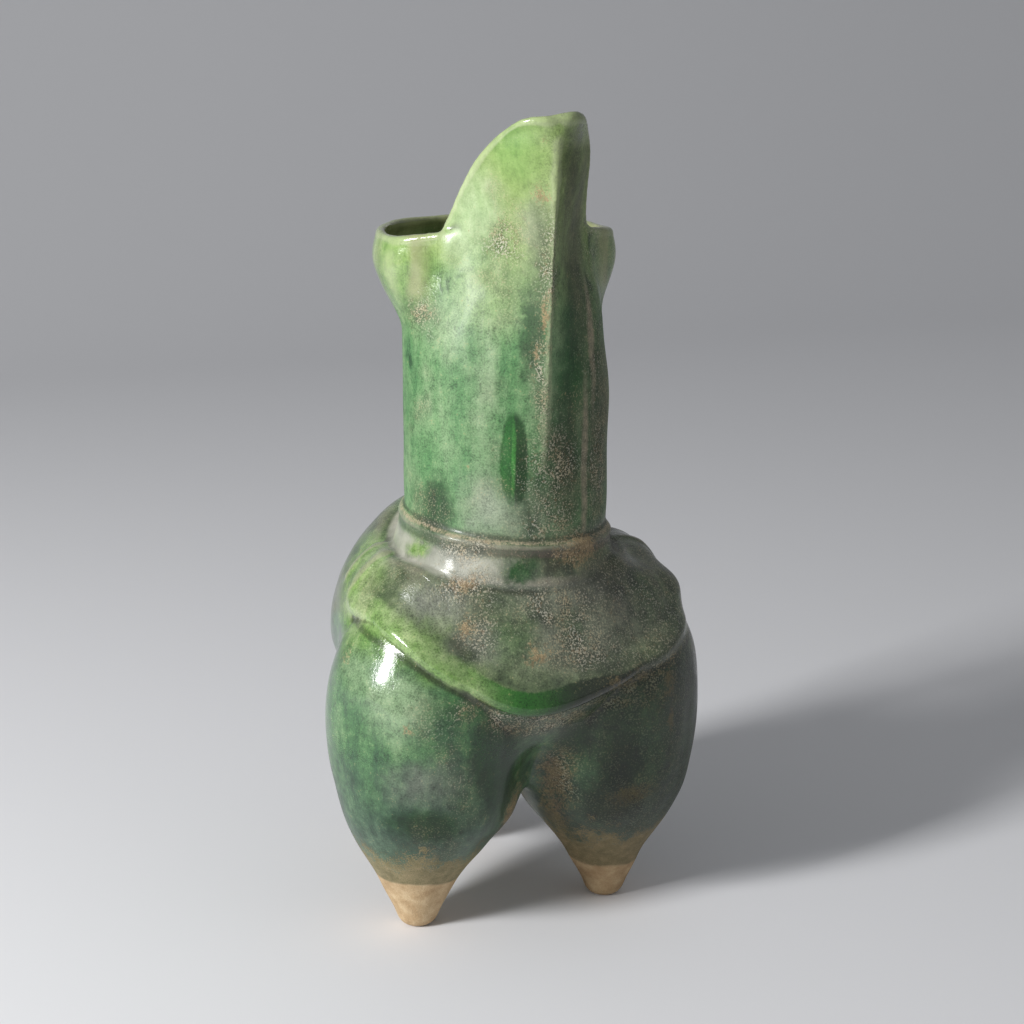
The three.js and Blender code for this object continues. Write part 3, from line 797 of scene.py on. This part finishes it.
# How far each place lies above the cordon's line, in millimetres
def markHeights(piece):
    points = vectorsOf(piece, "co")
    degrees = np.degrees(np.arctan2(points[:, 0], neckY - points[:, 1]))
    line = [cordonHeight(math.radians(turn)) for turn in range(-180, 181)]
    marked(piece, "above", points[:, 2] / mm - np.interp(degrees, np.arange(-180, 181), line))


# The points that a cut adds have no mark yet, so they take it from the clay beside them
def mendEdges(piece):
    proud = np.empty(len(piece.data.vertices))
    marks = piece.data.attributes["proud"].data
    marks.foreach_get("value", proud)
    ends = edgeEnds(piece)
    for turn in range(3):
        known = (proud != 0).astype(float)
        proud = np.where(known > 0, proud, besides(proud, ends) / np.maximum(besides(known, ends), 1))
    marks.foreach_set("value", proud.astype(np.float32))


softened(jug)
thumbed(jug)
markEdges(jug)


# Cutting the jug along its joints, so that the skin runs on across them
def cutOut(name, tool, rest):
    piece = copied(rest)
    piece.name = name
    boolean(piece, tool, "INTERSECT", keepTool=True)
    boolean(rest, tool, "DIFFERENCE")
    print("cut:", name, len(piece.data.polygons))
    return piece


def wedge(name, fromDegrees, toDegrees):  # a sector about the seams' meeting point
    deselect()
    bpy.ops.mesh.primitive_cylinder_add(vertices=3, radius=1, depth=1)
    piece = bpy.context.object
    piece.name = name
    corners = [around(math.radians(turn), reach, 0, seamY)
               for turn, reach in ((0, 0), (fromDegrees, 400), (toDegrees, 400))]
    turns = sorted({round(math.degrees(math.atan2(v.co.x, -v.co.y))) for v in piece.data.vertices})
    for vertex in piece.data.vertices:
        corner = corners[turns.index(round(math.degrees(math.atan2(vertex.co.x, -vertex.co.y))))].copy()
        corner.z = underFeet if vertex.co.z < 0 else 200
        vertex.co = landed(corner)
    outwards(piece)
    return piece


def collarCutter(name):
    foot = collar["top"] - collar["height"]

    def place(angle, share):
        point = around(angle, collar["cutRadius"], lerp(foot - 0.4, collar["top"] + 0.6, share))
        point.z += collarTilt(around(angle, neck["radius"], 0))
        return point
    return stack(name, 2, 128, place)


def neckCutter(angle, share):  # narrow inside the collar and wide above it
    radius, z = [(39.2, 140), (39.2, 157.5), (48, 161), (48, 228)][round(share * 3)]
    return around(angle, radius, z)


pieces = {}


def keep(node, piece, name):
    piece.name = name
    pieces[node] = piece


handleTool = block("handleCutter", (-18, 38.3, 160), (18, clear, 230))
keep("handle", cutOut("strap_handle", handleTool, jug), "strap_handle")
head = cutOut("head", block("headCutter", (-clear, -clear, neck["top"]), (clear, clear, overTip)), jug)
beakTool = block("beakCutter", (-clear, -clear, 200), (clear, beak["back"], overTip))
keep("spout", cutOut("beak_spout", beakTool, head), "beak_spout")
keep("mouth_rim", head, "cup_rim")
keep("neck_tube", cutOut("keeled_neck", stack("neckCutter", 4, 96, neckCutter), jug), "keeled_neck")
keep("collar_band", cutOut("cuff_collar", collarCutter("collarCutter"), jug), "cuff_collar")
feet = cutOut("tips", block("feetCutter", (-clear, -clear, -5), (clear, clear, pouch["footHeight"])), jug)
beadTool = hoop("cordonCutter", cordon["turns"], 32, cordonPlace(2.2, 3.4))
keep("body_cordon", cutOut("cordon_bead", beadTool, jug), "cordon_bead")
for side, name in ((-1, "left_flank_strap"), (1, "right_flank_strap")):
    keep(name, cutOut(name, flankForm("flankCutter", side, 1.2), jug), name + "_ridges")
lower = cutOut("lower", belowCordon("lowerCutter"), jug)
keep("shoulder_shell", jug, "sloping_shoulder")
sectors = {"front_left": (-124.5, 0), "front_right": (0, 124.5)}
for name, (low, high) in sectors.items():
    keep(name + "_leg", cutOut(name, wedge("legCutter", low, high), lower), name + "_pouch_leg")
    keep(name + "_foot", cutOut(name, wedge("footCutter", low, high), feet), name + "_tip")
keep("rear_leg", lower, "rear_pouch_leg")
keep("rear_foot", feet, "rear_tip")
print("pieces:", {name: len(piece.data.polygons) for name, piece in pieces.items()})

for node, piece in pieces.items():
    markHeights(piece)
    mendEdges(piece)
    only(piece)
    bpy.ops.object.shade_smooth_by_angle(angle=math.radians(50))
    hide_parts(node)
    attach(piece, "root")


# Finishes
class Value:  # a node's output, in sums
    def __init__(self, tree, link):
        self.tree, self.link = tree, link

    def __add__(self, other):
        return self.tree.maths("ADD", self, other)

    def __sub__(self, other):
        return self.tree.maths("SUBTRACT", self, other)

    def __rsub__(self, other):
        return self.tree.maths("SUBTRACT", other, self)

    def __mul__(self, other):
        return self.tree.maths("MULTIPLY", self, other)

    __radd__ = __add__
    __rmul__ = __mul__


class Finish:  # one material's node tree
    def __init__(self, name):
        self.material = bpy.data.materials.new(name)
        self.material.use_nodes = True
        self.nodes = self.material.node_tree.nodes
        self.links = self.material.node_tree.links
        self.nodes.clear()

    def node(self, kind, settings=None, sockets=None, output=0):
        made = self.nodes.new(kind)
        for key, value in (settings or {}).items():
            if key == "stops":
                ramp = made.color_ramp.elements
                while len(ramp) < len(value):
                    ramp.new(0.5)
                for stop, (position, tint) in zip(ramp, value):
                    stop.position, stop.color = position, tint
            else:
                setattr(made, key, value)
        for key, value in (sockets or {}).items():
            if isinstance(value, Value):
                self.links.new(value.link, made.inputs[key])
            else:
                made.inputs[key].default_value = value
        return Value(self, made.outputs[output]) if made.outputs else None

    def maths(self, operation, a, b):
        return self.node("ShaderNodeMath", {"operation": operation}, {0: a, 1: b})

    def most(self, a, b):
        return self.maths("MAXIMUM", a, b)

    def step(self, value, low, high, to=(0, 1)):
        return self.node("ShaderNodeMapRange", {"interpolation_type": "SMOOTHSTEP"}, {
            "Value": value, "From Min": low, "From Max": high, "To Min": to[0], "To Max": to[1]})

    def mix(self, factor, a, b, blend="MIX"):
        return self.node("ShaderNodeMix", {"data_type": "RGBA", "blend_type": blend},
                         {0: factor, 6: a, 7: b}, output=2)

    def vector(self, operation, a, b):
        return self.node("ShaderNodeVectorMath", {"operation": operation}, {0: a, 1: b})


def colour(code):  # from the eye's colour to the light's
    parts = [int(code[i:i + 2], 16) / 255 for i in (1, 3, 5)]
    return tuple(c / 12.92 if c <= 0.04045 else ((c + 0.055) / 1.055) ** 2.4 for c in parts) + (1,)


# Colours of each glaze, from the dark to the light places of the noise that it follows
tints = {
    "legs": [(0.38, "#28492b"), (0.46, "#3a6540"), (0.54, "#51804d"), (0.64, "#7a9f6c")],
    "legsLow": [(0.42, "#31433a"), (0.6, "#5a7063")],
    "slope": [(0.38, "#3f4d36"), (0.46, "#536345"), (0.54, "#6c7c57"), (0.64, "#919f7b")],
    "tube": [(0.38, "#477a4a"), (0.46, "#61925b"), (0.54, "#7ba26f"), (0.64, "#97b486")],
    "tip": [(0.38, "#7a9452"), (0.46, "#8fa961"), (0.54, "#9fb871"), (0.64, "#b5c68c")],
    "paleThin": [(0.42, "#93b382"), (0.6, "#b9cca6")],
    "yellowGreen": [(0.4, "#5f8f3a"), (0.5, "#82a954"), (0.62, "#adc382")],
    "olive": [(0.4, "#24271a"), (0.5, "#3c3e29"), (0.62, "#625e47")],
    "deepPool": [(0.35, "#0f3415"), (0.65, "#1f6026")],
    "greyVeil": [(0.35, "#71716b"), (0.6, "#a9a99c")],
    "moss": [(0.35, "#2f5527"), (0.6, "#567a44")],
    "murk": [(0.35, "#35482f"), (0.6, "#667556")],
    "leaf": [(0.35, "#133b16"), (0.65, "#215a1f")],
    "fold": [(0.42, "#86b05c"), (0.58, "#b9cf92")],
    "speckle": [(0.34, "#969696"), (0.5, "#dedede"), (0.66, "#ffffff")],
    "milky": [(0.38, "#a2a294"), (0.6, "#c4c2b4")],
    "grit": [(0.35, "#343c2e"), (0.65, "#60614f")],
    "paleGrains": [(0.4, "#c6c1b0"), (0.6, "#b3a687")],
    "buff": [(0.35, "#7b6a4c"), (0.65, "#ac9670")],
    "inside": [(0.35, "#7a7e58"), (0.65, "#999c70")],
    "skinned": [(0.35, "#78704f"), (0.5, "#90835f"), (0.65, "#a89672")],
    "clay": [(0.35, "#a98d68"), (0.5, "#bfa580"), (0.65, "#d3bd98")],
}

# Where it runs, pools, wears thin or has turned granular it is painted in listed dabs: each dab is a centre
# and its reach, in millimetres round the neck's axis
dabs = {
    "deepPool": [  # thick, dark and glossy
        ((-33, -16, 162), (7, 12, 12)), ((-24, -47, 77), (8, 14, 15)),
        ((-46, -41, 52), (13, 12, 8)), ((27, -46, 68), (9, 14, 19)),
        ((-6, -40, 226), (4, 8, 14)), ((-9, -39, 142), (8, 9, 5)),
        ((12, 74, 80), (12, 14, 22)), ((-38, 36, 70), (12, 14, 24)), ((52, 22, 84), (12, 14, 18)),
        ((20, 30, 190), (9, 12, 24)), ((-14, 44, 84), (10, 12, 14)), ((12, -40, 214), (8, 10, 36)),
        ((-15, -44, 69), (11, 14, 24)), ((26, -42, 52), (14, 12, 12)), ((10, -42, 76), (9, 10, 10)),
    ],
    "yellowGreen": [  # thin bright glaze over white slip
        ((-12, -40, 290), (12, 12, 12)), ((-52, -33, 119), (17, 16, 8)), ((-62, -10, 122), (16, 22, 10)),
        ((-40, 6, 246), (14, 18, 16)), ((-38, -8, 244), (11, 12, 13)), ((-36, -42, 109), (12, 10, 6)),
        ((-30, 50, 128), (18, 20, 12)), ((-50, 16, 139), (14, 22, 10)), ((0, 76, 165), (12, 16, 26)),
        ((-56, 4, 134), (14, 18, 13)), ((-38, -14, 146), (5, 8, 4)),
    ],
    "paleThin": [
        ((-21, -24, 262), (11, 14, 20)), ((-30, -22, 234), (11, 14, 18)), ((-19, -31, 210), (5, 8, 26)),
        ((-54, -38, 99), (13, 14, 15)), ((-60, -22, 106), (12, 16, 12)), ((44, 10, 108), (16, 20, 14)),
        ((-50, 8, 144), (14, 20, 9)),
    ],
    "olive": [  # brownish glaze on the right
        ((16, -32, 250), (13, 16, 52)), ((8, -42, 278), (8, 12, 30)), ((26, -26, 190), (16, 16, 46)),
        ((32, -38, 132), (26, 22, 12)), ((52, -22, 96), (22, 28, 28)), ((62, 0, 118), (14, 28, 18)),
        ((6, -41, 144), (9, 8, 4)), ((9, -35, 181), (9.5, 10, 27)),
    ],
    "greyVeil": [  # milky weathering
        ((-26, -31, 148), (16, 13, 7)), ((-24, -34, 166), (9, 10, 16)), ((-36, -30, 130), (15, 13, 11)),
        ((-26, -42, 118), (14, 12, 9)), ((10, -45, 118), (30, 14, 15)), ((6, -42, 132), (30, 14, 10)),
        ((-6, -39, 160), (11, 12, 12)), ((-5, -42, 262), (6, 8, 15)), ((36, -36, 122), (22, 18, 12)),
        ((-47, -44, 70), (15, 14, 10)), ((0, -44, 88), (12, 14, 11)), ((28, -43, 50), (16, 14, 9)),
        ((0, 66, 110), (34, 20, 16)),
    ],
    "murk": [  # dull and dark beside the keel
        ((-4, -44, 248), (5, 8, 26)), ((-4.5, -41, 214), (5, 8, 22)), ((-6, -37, 168), (9, 10, 12)),
    ],
    "moss": [  # soft green where the veil is thin
        ((-15, -46, 121), (9, 10, 13)), ((-44, -38, 112), (12, 12, 8)), ((44, -34, 128), (13, 14, 14)),
        ((57, -26, 112), (12, 14, 12)), ((8, -45, 122), (6, 10, 8)), ((20, -44, 80), (12, 12, 10)),
        ((30, -28, 146), (9, 10, 7)),
    ],
    "granular": [  # the skin has gone to grains of white, brown and dark
        ((-1, -45, 246), (5, 8, 24)), ((-1.5, -42, 208), (4, 8, 30)), ((6, -38, 176), (15, 12, 26)),
        ((2, -39, 158), (17, 12, 9)), ((-12, -31, 258), (9, 12, 12)), ((-26, -31, 149), (17, 12, 6)),
        ((-26, -34, 136), (14, 12, 9)), ((-26, -42, 124), (9, 10, 13)), ((4, -43, 128), (22, 12, 12)),
        ((12, -47, 115), (26, 12, 11)), ((-31, -47, 96), (9, 8, 4)), ((10, -46, 88), (14, 10, 7)),
        ((-14, -44, 90), (12, 10, 7)),
        ((40, -45, 96), (16, 12, 14)), ((34, -44, 52), (14, 12, 9)), ((18, -37, 150), (17, 10, 9)),
        ((-35, -10, 230), (8, 10, 8)), ((8, -36, 62), (8, 12, 18)), ((28, -26, 176), (14, 14, 30)),
        ((20, 66, 100), (24, 18, 18)), ((-30, 60, 108), (20, 18, 12)), ((30, 40, 140), (22, 24, 10)),
        ((-16, 34, 210), (20, 12, 22)), ((56, 24, 112), (18, 22, 12)),
    ],
    "buff": [  # the clay shows orange-buff
        ((6, -31, 62), (8, 14, 14)), ((9, -28, 46), (7, 12, 12)), ((-9, -30, 50), (7, 12, 15)),
        ((-4, -44, 274), (3.4, 5, 5)), ((-4, -46, 290), (1.8, 4, 1.8)), ((17, -36, 147), (14, 9, 7)),
        ((-28, -32, 138), (7, 8, 4)), ((-29, -40, 124), (3, 6, 6)), ((-7, -48, 114), (5, 8, 4)),
        ((28, -53, 101), (12, 8, 4)), ((46, -46, 96), (3.5, 8, 8)), ((48, -46, 83), (2.8, 8, 8)),
        ((-52, -42, 91), (2.6, 5, 3)),
        ((-2, -43, 231), (1.8, 6, 9)), ((-70, -16, 114), (7, 9, 8)), ((32, -44, 54), (14, 10, 6)),
        ((-4, -43, 216), (2, 6, 12)), ((22, 64, 74), (8, 12, 12)), ((-30, 58, 84), (9, 12, 8)),
        ((38, 26, 146), (12, 16, 6)), ((10, 38, 228), (8, 8, 10)),
    ],
}


def jugGlaze(name):
    f = Finish(name)
    place = f.node("ShaderNodeTexCoord", output=3)
    here = f.node("ShaderNodeMapping", {}, {"Vector": place, "Location": (0, -neckY / mm, 0),
                                            "Scale": (1 / mm, 1 / mm, 1 / mm)})
    x, y, z = (f.node("ShaderNodeSeparateXYZ", {}, {"Vector": here}, output=i) for i in range(3))
    proud = f.node("ShaderNodeAttribute", {"attribute_name": "proud"}, output=2)
    above = f.node("ShaderNodeAttribute", {"attribute_name": "above"}, output=2)

    def grain(size, detail=2, roughness=0.55, at=here, output=0):  # noise with features of a size in mm
        return f.node("ShaderNodeTexNoise", {}, {
            "Vector": at, "Scale": 1 / size, "Detail": detail, "Roughness": roughness}, output)

    def wandered(size, reach, at):  # places moved about, so that the dabs' edges run ragged
        drift = grain(size, 3, 0.5, at, output=1)
        centred = f.vector("SUBTRACT", drift, (0.5, 0.5, 0.5))
        return f.vector("ADD", at, f.vector("MULTIPLY", centred, (reach, reach, reach)))

    def away(at, centre, reach):
        offset = f.vector("MULTIPLY", f.vector("SUBTRACT", at, centre), tuple(1 / r for r in reach))
        return f.node("ShaderNodeVectorMath", {"operation": "LENGTH"}, {0: offset}, output=1)

    def band(value, low, high, soft):  # 1 between two values
        return f.step(value, low - soft, low + soft) * f.step(value, high + soft, high - soft)

    def tinted(kind, value):
        stops = [(at, colour(code)) for at, code in tints[kind]]
        return f.node("ShaderNodeValToRGB", {"stops": stops}, {"Fac": value})

    def within(centre, outer, inner):  # 1 inside an upright cylinder
        return f.step(away(here, centre, (1, 1, 100000)), outer, inner)

    ragged = wandered(2.2, 4.5, wandered(12, 11, here))
    streaks = grain(8, 4, 0.6, f.vector("MULTIPLY", here, (1, 1, 0.22)))  # runs and fibres hang down
    fibres = grain(2.6, 3, 0.6, f.vector("MULTIPLY", here, (1, 1, 0.14)))
    broad = grain(34, 3)
    patches = grain(13, 3)
    mottle = grain(3.6, 3, 0.6)
    sand = grain(0.66, 2, 0.6)
    dust = grain(0.4, 1, 0.6)

    def dabbed(kind, softness=0.55):
        total = None
        for centre, reach in dabs[kind]:
            mark = f.step(away(ragged, centre, reach), 1 + softness * 0.5, 1 - softness)
            total = mark if total is None else f.most(total, mark)
        return total

    # Ground colours from the legs up to the beak's tip
    tone = streaks * 0.28 + broad * 0.2 + patches * 0.22 + fibres * 0.14 + mottle * 0.16
    paint = f.mix(f.step(z + patches * 20, 96, 54) * 0.7, tinted("legs", tone), tinted("legsLow", tone))
    paint = f.mix(f.step(above, -7, -3) * f.step(z, 88, 96), paint, tinted("slope", tone))
    paint = f.mix(f.step(z, 146, 158), paint, tinted("tube", tone))
    paint = f.mix(f.step(z + broad * 40, 236, 282), paint, tinted("tip", tone))

    deep, thin = dabbed("deepPool"), dabbed("paleThin", 0.8)
    yellow, olive = dabbed("yellowGreen", 0.8), dabbed("olive", 0.9)
    veil, granular, buff = dabbed("greyVeil", 0.9), dabbed("granular", 1.2), dabbed("buff", 0.9)

    paint = f.mix(thin * 0.6, paint, tinted("paleThin", tone))
    paint = f.mix(yellow * 0.8, paint, tinted("yellowGreen", tone))
    paint = f.mix(olive * 0.82, paint, tinted("olive", tone))
    pools = f.most(deep, f.step(tone, 0.43, 0.37) * 0.6)
    paint = f.mix(pools * 0.88, paint, tinted("deepPool", streaks))
    paint = f.mix(veil * 0.5, paint, tinted("greyVeil", patches))
    paint = f.mix(dabbed("moss", 0.9) * 0.45, paint, tinted("moss", mottle))
    paint = f.mix(dabbed("murk", 0.9) * 0.5, paint, tinted("murk", fibres))

    # The leaf-shaped pool down the neck, with a painted highlight down its crest
    leaf = f.step(away(wandered(5, 2.4, here), (-10.2, -36, 181), (4.9, 9, 17.5)), 1.06, 0.86)
    line = f.step(away(wandered(5, 1.6, here), (-10.6, -37, 181), (0.9, 8, 15)), 1.3, 0.4)
    paint = f.mix(leaf * 0.94, paint, tinted("leaf", streaks))
    paint = f.mix(leaf * f.step(x, -9.5, -12.5) * 0.6, paint, colour("#2f7d30"))
    # the bright line is a painted highlight along the pool's crest
    paint = f.mix(line * 0.75, paint, colour("#4a9d42"))

    # Pale stripes down the right of the neck and the beak, a painted highlight where that flank catches
    # light, and a milky place low on the neck
    straying = wandered(9, 2.5, here)
    highlightStripe = f.most(f.step(away(straying, (21.5, -28.5, 232), (2, 5, 44)), 1.2, 0.4),
                    f.step(away(straying, (17.6, -32.4, 176), (2, 5, 36)), 1.2, 0.4))
    paint = f.mix(highlightStripe * (0.3 + mottle * 0.9), paint, colour("#aea188"))
    milk = f.step(away(ragged, (-17, -33, 163), (8, 10, 12)), 1.3, 0.2)
    paint = f.mix(milk * 0.5, paint, colour("#bcc2ae"))

    # The cordon: a bright fold on the left, a dark run along its front, a crease beneath it
    fold = band(above, -3.6, 5, 1.4) * f.step(x, -12, -24) * f.step(y, 10, -8)
    paint = f.mix(fold * 0.65, paint, tinted("fold", tone))
    front = f.step(x, -34, -16) * f.step(x, 46, 26) * f.step(y, -30, -42)
    lifted = above + (mottle - 0.5) * 1.4
    run = f.step(lifted, -6.9, -5.9) * f.step(lifted + f.step(x, 2, 34) * 4.4, 5.4, 4.5) * front
    paint = f.mix(run * 0.92, paint, f.mix(f.step(x, -20, 10), colour("#2a6a22"), colour("#15290f")))
    under = band(above + (mottle - 0.5) * 1.6, -6.2, -4.4, 0.5) * f.step(y, 6, -20) * (1 - front)
    paint = f.mix(under * 0.55, paint, colour("#28301f"))

    # Fine mottling everywhere
    calm = f.step(z, 236, 262) * f.step(x, 2, -10) * 0.55  # weaker on the beak's left
    paint = f.mix(1 - calm, paint, tinted("speckle", sand * 0.45 + dust * 0.25 + mottle * 0.3), "MULTIPLY")

    # Thin and pale on what stands out, dark where it has run into a crease
    ridge = f.step(proud, 0.8, 3.2) * f.step(z, 124, 134) * (1 - deep) * (1 - leaf) * (1 - olive * 0.7)
    paint = f.mix(ridge * 0.42, paint, f.mix(f.step(z, 164, 158), colour("#b7bf98"), colour("#a59c8c")))
    crease = f.step(proud, -0.9, -4.0)
    paint = f.mix(crease * 0.7, paint, colour("#2b2f20"))

    # The collar: milky, with a pale worn edge and a dark line under it
    cuff = z - y * collar["tiltBack"] - x * collar["tiltSide"] + (mottle - 0.5) * 1.6
    onNeck = within((0, 0, 0), 45, 43)
    milky = band(cuff, 139, 148, 1.5) * onNeck * f.step(x, 4, -24) * (1 - deep) * (1 - yellow)
    paint = f.mix(milky * 0.7, paint, tinted("milky", patches))
    worn = f.step(sand * 0.6 + mottle * 0.4, 0.36, 0.58)
    stain = band(cuff, 148.8, 152, 0.7) * onNeck * f.step(x, -38, -2, (0.45, 1))
    paint = f.mix(stain * (0.3 + worn * 0.5), paint, colour("#4a3d3a"))
    paint = f.mix(band(cuff, 153.2, 154.2, 0.4) * onNeck * worn * 0.7, paint, colour("#bdaa8f"))

    # Grains
    belt = band(above, -15, -5, 3) * f.step(x, -30, -20) * f.step(x, 44, 30) * f.step(y, -26, -40)
    rightSide = f.step(x, 0, 30) * f.step(y, 20, -10) * 0.5
    density = f.most(f.most(granular, belt), rightSide) * f.step(grain(6, 3, 0.6), 0.34, 0.56, (0.5, 1))
    density = f.most(density, f.step(grain(26), 0.5, 0.68) * 0.4)
    paint = f.mix(density * 0.5, paint, tinted("grit", patches))
    light = f.step(sand + density * 0.13, 0.61, 0.68)
    dark = f.step(dust + density * 0.13, 0.61, 0.67)
    elsewhere = grain(1.3, 2, 0.6, f.vector("ADD", here, (40, 11, 7)))
    brown = f.step(elsewhere + density * 0.12 + buff * 0.2, 0.64, 0.72)
    paint = f.mix(dark * density * 0.75, paint, colour("#1f261d"))
    paint = f.mix(brown * f.most(density * 0.7, buff) * 0.6, paint, colour("#8b7150"))
    paint = f.mix(light * density * 0.8, paint, tinted("paleGrains", patches))

    # Buff body where the glaze has gone
    seam = band(above, -8, -3, 1.5) * f.step(x, 18, 28) * f.step(x, 60, 48) * f.step(y, 0, -20)
    buff = f.most(buff, seam * 0.8)
    gone = f.step(buff * 0.9 + (sand - 0.5) * 3 + (mottle - 0.5) * 2.4, 0.5, 1.2)
    paint = f.mix(gone * 0.7, paint, tinted("buff", dust))

    # Pools on the legs are nearly black, and the right leg is darkened with painted shade, on the side away
    # from the light
    paint = f.mix(deep * f.step(z, 106, 92) * 0.55, paint, colour("#6a7a62"), "MULTIPLY")
    shaded = f.step(x, -8, 20) * f.step(z, 114, 96) * f.step(y, 14, -10)
    paint = f.mix(shaded * 0.85, paint, colour("#7f8b75"), "MULTIPLY")

    # Inside: a thin olive wash
    inside = within((0, rim["setback"], 0), 41.4, 39.8) * f.step(z, 232, 238) * f.step(y, -12, -6)
    paint = f.mix(inside * 0.75, paint, tinted("inside", patches))

    # The glaze ends ragged above the tips, over a thin tan skin and then the clean clay
    end = z + (patches - 0.5) * 18 + (streaks - 0.5) * 30 + (sand - 0.5) * 28 + (mottle - 0.5) * 18
    skinned = f.step(end, 38.5, 31)
    clean = f.step(z + (broad - 0.5) * 8 + x * 0.066, 19.8, 18.2)
    # The tan skin on the right foot is darkened with the same painted shade
    tan = f.mix(shaded * 0.55, tinted("skinned", mottle * 0.6 + dust * 0.4), colour("#b3a796"), "MULTIPLY")
    paint = f.mix(skinned * 0.84, paint, tan)
    lumps = grain(5, 3) * 0.6 + dust * 0.2 + sand * 0.2
    # The bare clay on the right foot is darkened with painted shade as well
    paint = f.mix(clean, paint, f.mix(shaded * 0.6, tinted("clay", lumps), colour("#c0b6a8"), "MULTIPLY"))

    # Dull where it is bare or weathered, and the beak and the tube have lost their shine
    bare = f.most(f.most(clean, skinned * 0.8), gone * 0.7)
    dull = f.most(bare, f.most(veil * 0.5, density * 0.75))
    lobes = f.step(y, -17, -11) * f.step(z, 226, 234)
    faded = f.step(z, 148, 158) * f.step(z, 292, 286) * (1 - lobes)
    faded = f.most(faded, f.most(f.step(z, 96, 48) * 0.7, band(cuff, 140, 156, 1) * onNeck * 0.6))
    roughness = 0.2 + dull * 0.42 + (dust - 0.5) * 0.12 + faded * 0.3
    coat = (1 - dull) * (1 - faded * 0.92) * 0.6
    pits = (sand - 0.5) * (0.14 + density * 0.6 + bare * 0.3) + (fibres - 0.5) * 0.2 + (mottle - 0.5) * 0.35
    bump = f.node("ShaderNodeBump", {}, {"Height": pits, "Strength": 0.5, "Distance": 0.0009})
    shader = f.node("ShaderNodeBsdfPrincipled", {}, {
        "Base Color": paint, "Roughness": roughness, "Coat Weight": coat, "Coat Roughness": 0.12,
        "Normal": bump, "IOR": 1.46})
    f.node("ShaderNodeOutputMaterial", {}, {"Surface": shader})
    return f.material


print("finish: glazing")
glazed = jugGlaze("running_green_glaze")
for piece in pieces.values():
    piece.data.materials.clear()
    piece.data.materials.append(glazed)

# Room, lamps and camera
print("room: floor, lamps and camera")
room = {
    "width": 12, "front": -4, "back": 2.4, "height": 5, "cove": 1.2, "coveSteps": 24, "paint": "#e2e2e4",
    "air": (0.9, 0.92, 0.95, 1), "airLight": 0.3,
}
lamps = {  # place, width, height and power in watts
    "window": ((-1.25, -0.4, 0.75), 0.24, 0.5, 25),
    "fill": ((0.9, -1.1, 0.9), 1.2, 1.2, 0.8),
}
view = {"place": (-0.2529, -0.68084, 0.331), "down": 14, "turn": 21.0, "lens": 70.3, "sensor": 36}


def selectEdges(piece, wanted):  # by the places of their two ends
    bpy.ops.object.mode_set(mode="OBJECT")
    for edge in piece.data.edges:
        edge.select = all(wanted(piece.data.vertices[i].co) for i in edge.vertices)
    bpy.ops.object.mode_set(mode="EDIT")


deselect()
bpy.ops.mesh.primitive_plane_add(size=1, location=(0, 0, 0))
floor = bpy.context.object
floor.name = "floor"
floor.scale = (room["width"], room["back"] - room["front"], 1)
floor.location = (0, (room["back"] + room["front"]) / 2, 0)
bpy.ops.object.transform_apply(location=True, rotation=True, scale=True)
bpy.ops.object.mode_set(mode="EDIT")
bpy.ops.mesh.select_all(action="DESELECT")
selectEdges(floor, lambda end: end.y > room["back"] - 0.01)
bpy.ops.mesh.select_mode(type="EDGE")
bpy.ops.mesh.extrude_region_move(TRANSFORM_OT_translate={"value": (0, 0, room["height"])})
selectEdges(floor, lambda end: end.y > room["back"] - 0.01 and end.z < 0.01)
bpy.ops.mesh.bevel(offset=room["cove"], segments=room["coveSteps"])
bpy.ops.object.mode_set(mode="OBJECT")
bpy.ops.object.shade_smooth()
plain = Finish("pale_floor")
flat = plain.node("ShaderNodeBsdfPrincipled", {}, {"Base Color": colour(room["paint"]), "Roughness": 0.9})
plain.node("ShaderNodeOutputMaterial", {}, {"Surface": flat})
floor.data.materials.append(plain.material)

world = bpy.data.worlds.new("room")
bpy.context.scene.world = world
world.use_nodes = True
world.node_tree.nodes["Background"].inputs["Color"].default_value = room["air"]
world.node_tree.nodes["Background"].inputs["Strength"].default_value = room["airLight"]

for name, (place, width, height, power) in lamps.items():
    bpy.ops.object.light_add(type="AREA", location=place)
    light = bpy.context.object
    light.name = name
    light.data.shape = "RECTANGLE"
    light.data.size, light.data.size_y = width, height
    light.data.energy = power
    towardsJug = Vector((0, 0, 0.15)) - Vector(place)
    light.rotation_euler = towardsJug.to_track_quat("-Z", "Y").to_euler()

bpy.ops.object.camera_add(location=view["place"],
                          rotation=(math.radians(90 - view["down"]), 0, math.radians(-view["turn"])))
camera = bpy.context.object
camera.data.lens = view["lens"]
camera.data.sensor_width = view["sensor"]
bpy.context.scene.camera = camera
bpy.context.scene.view_settings.view_transform = "Standard"
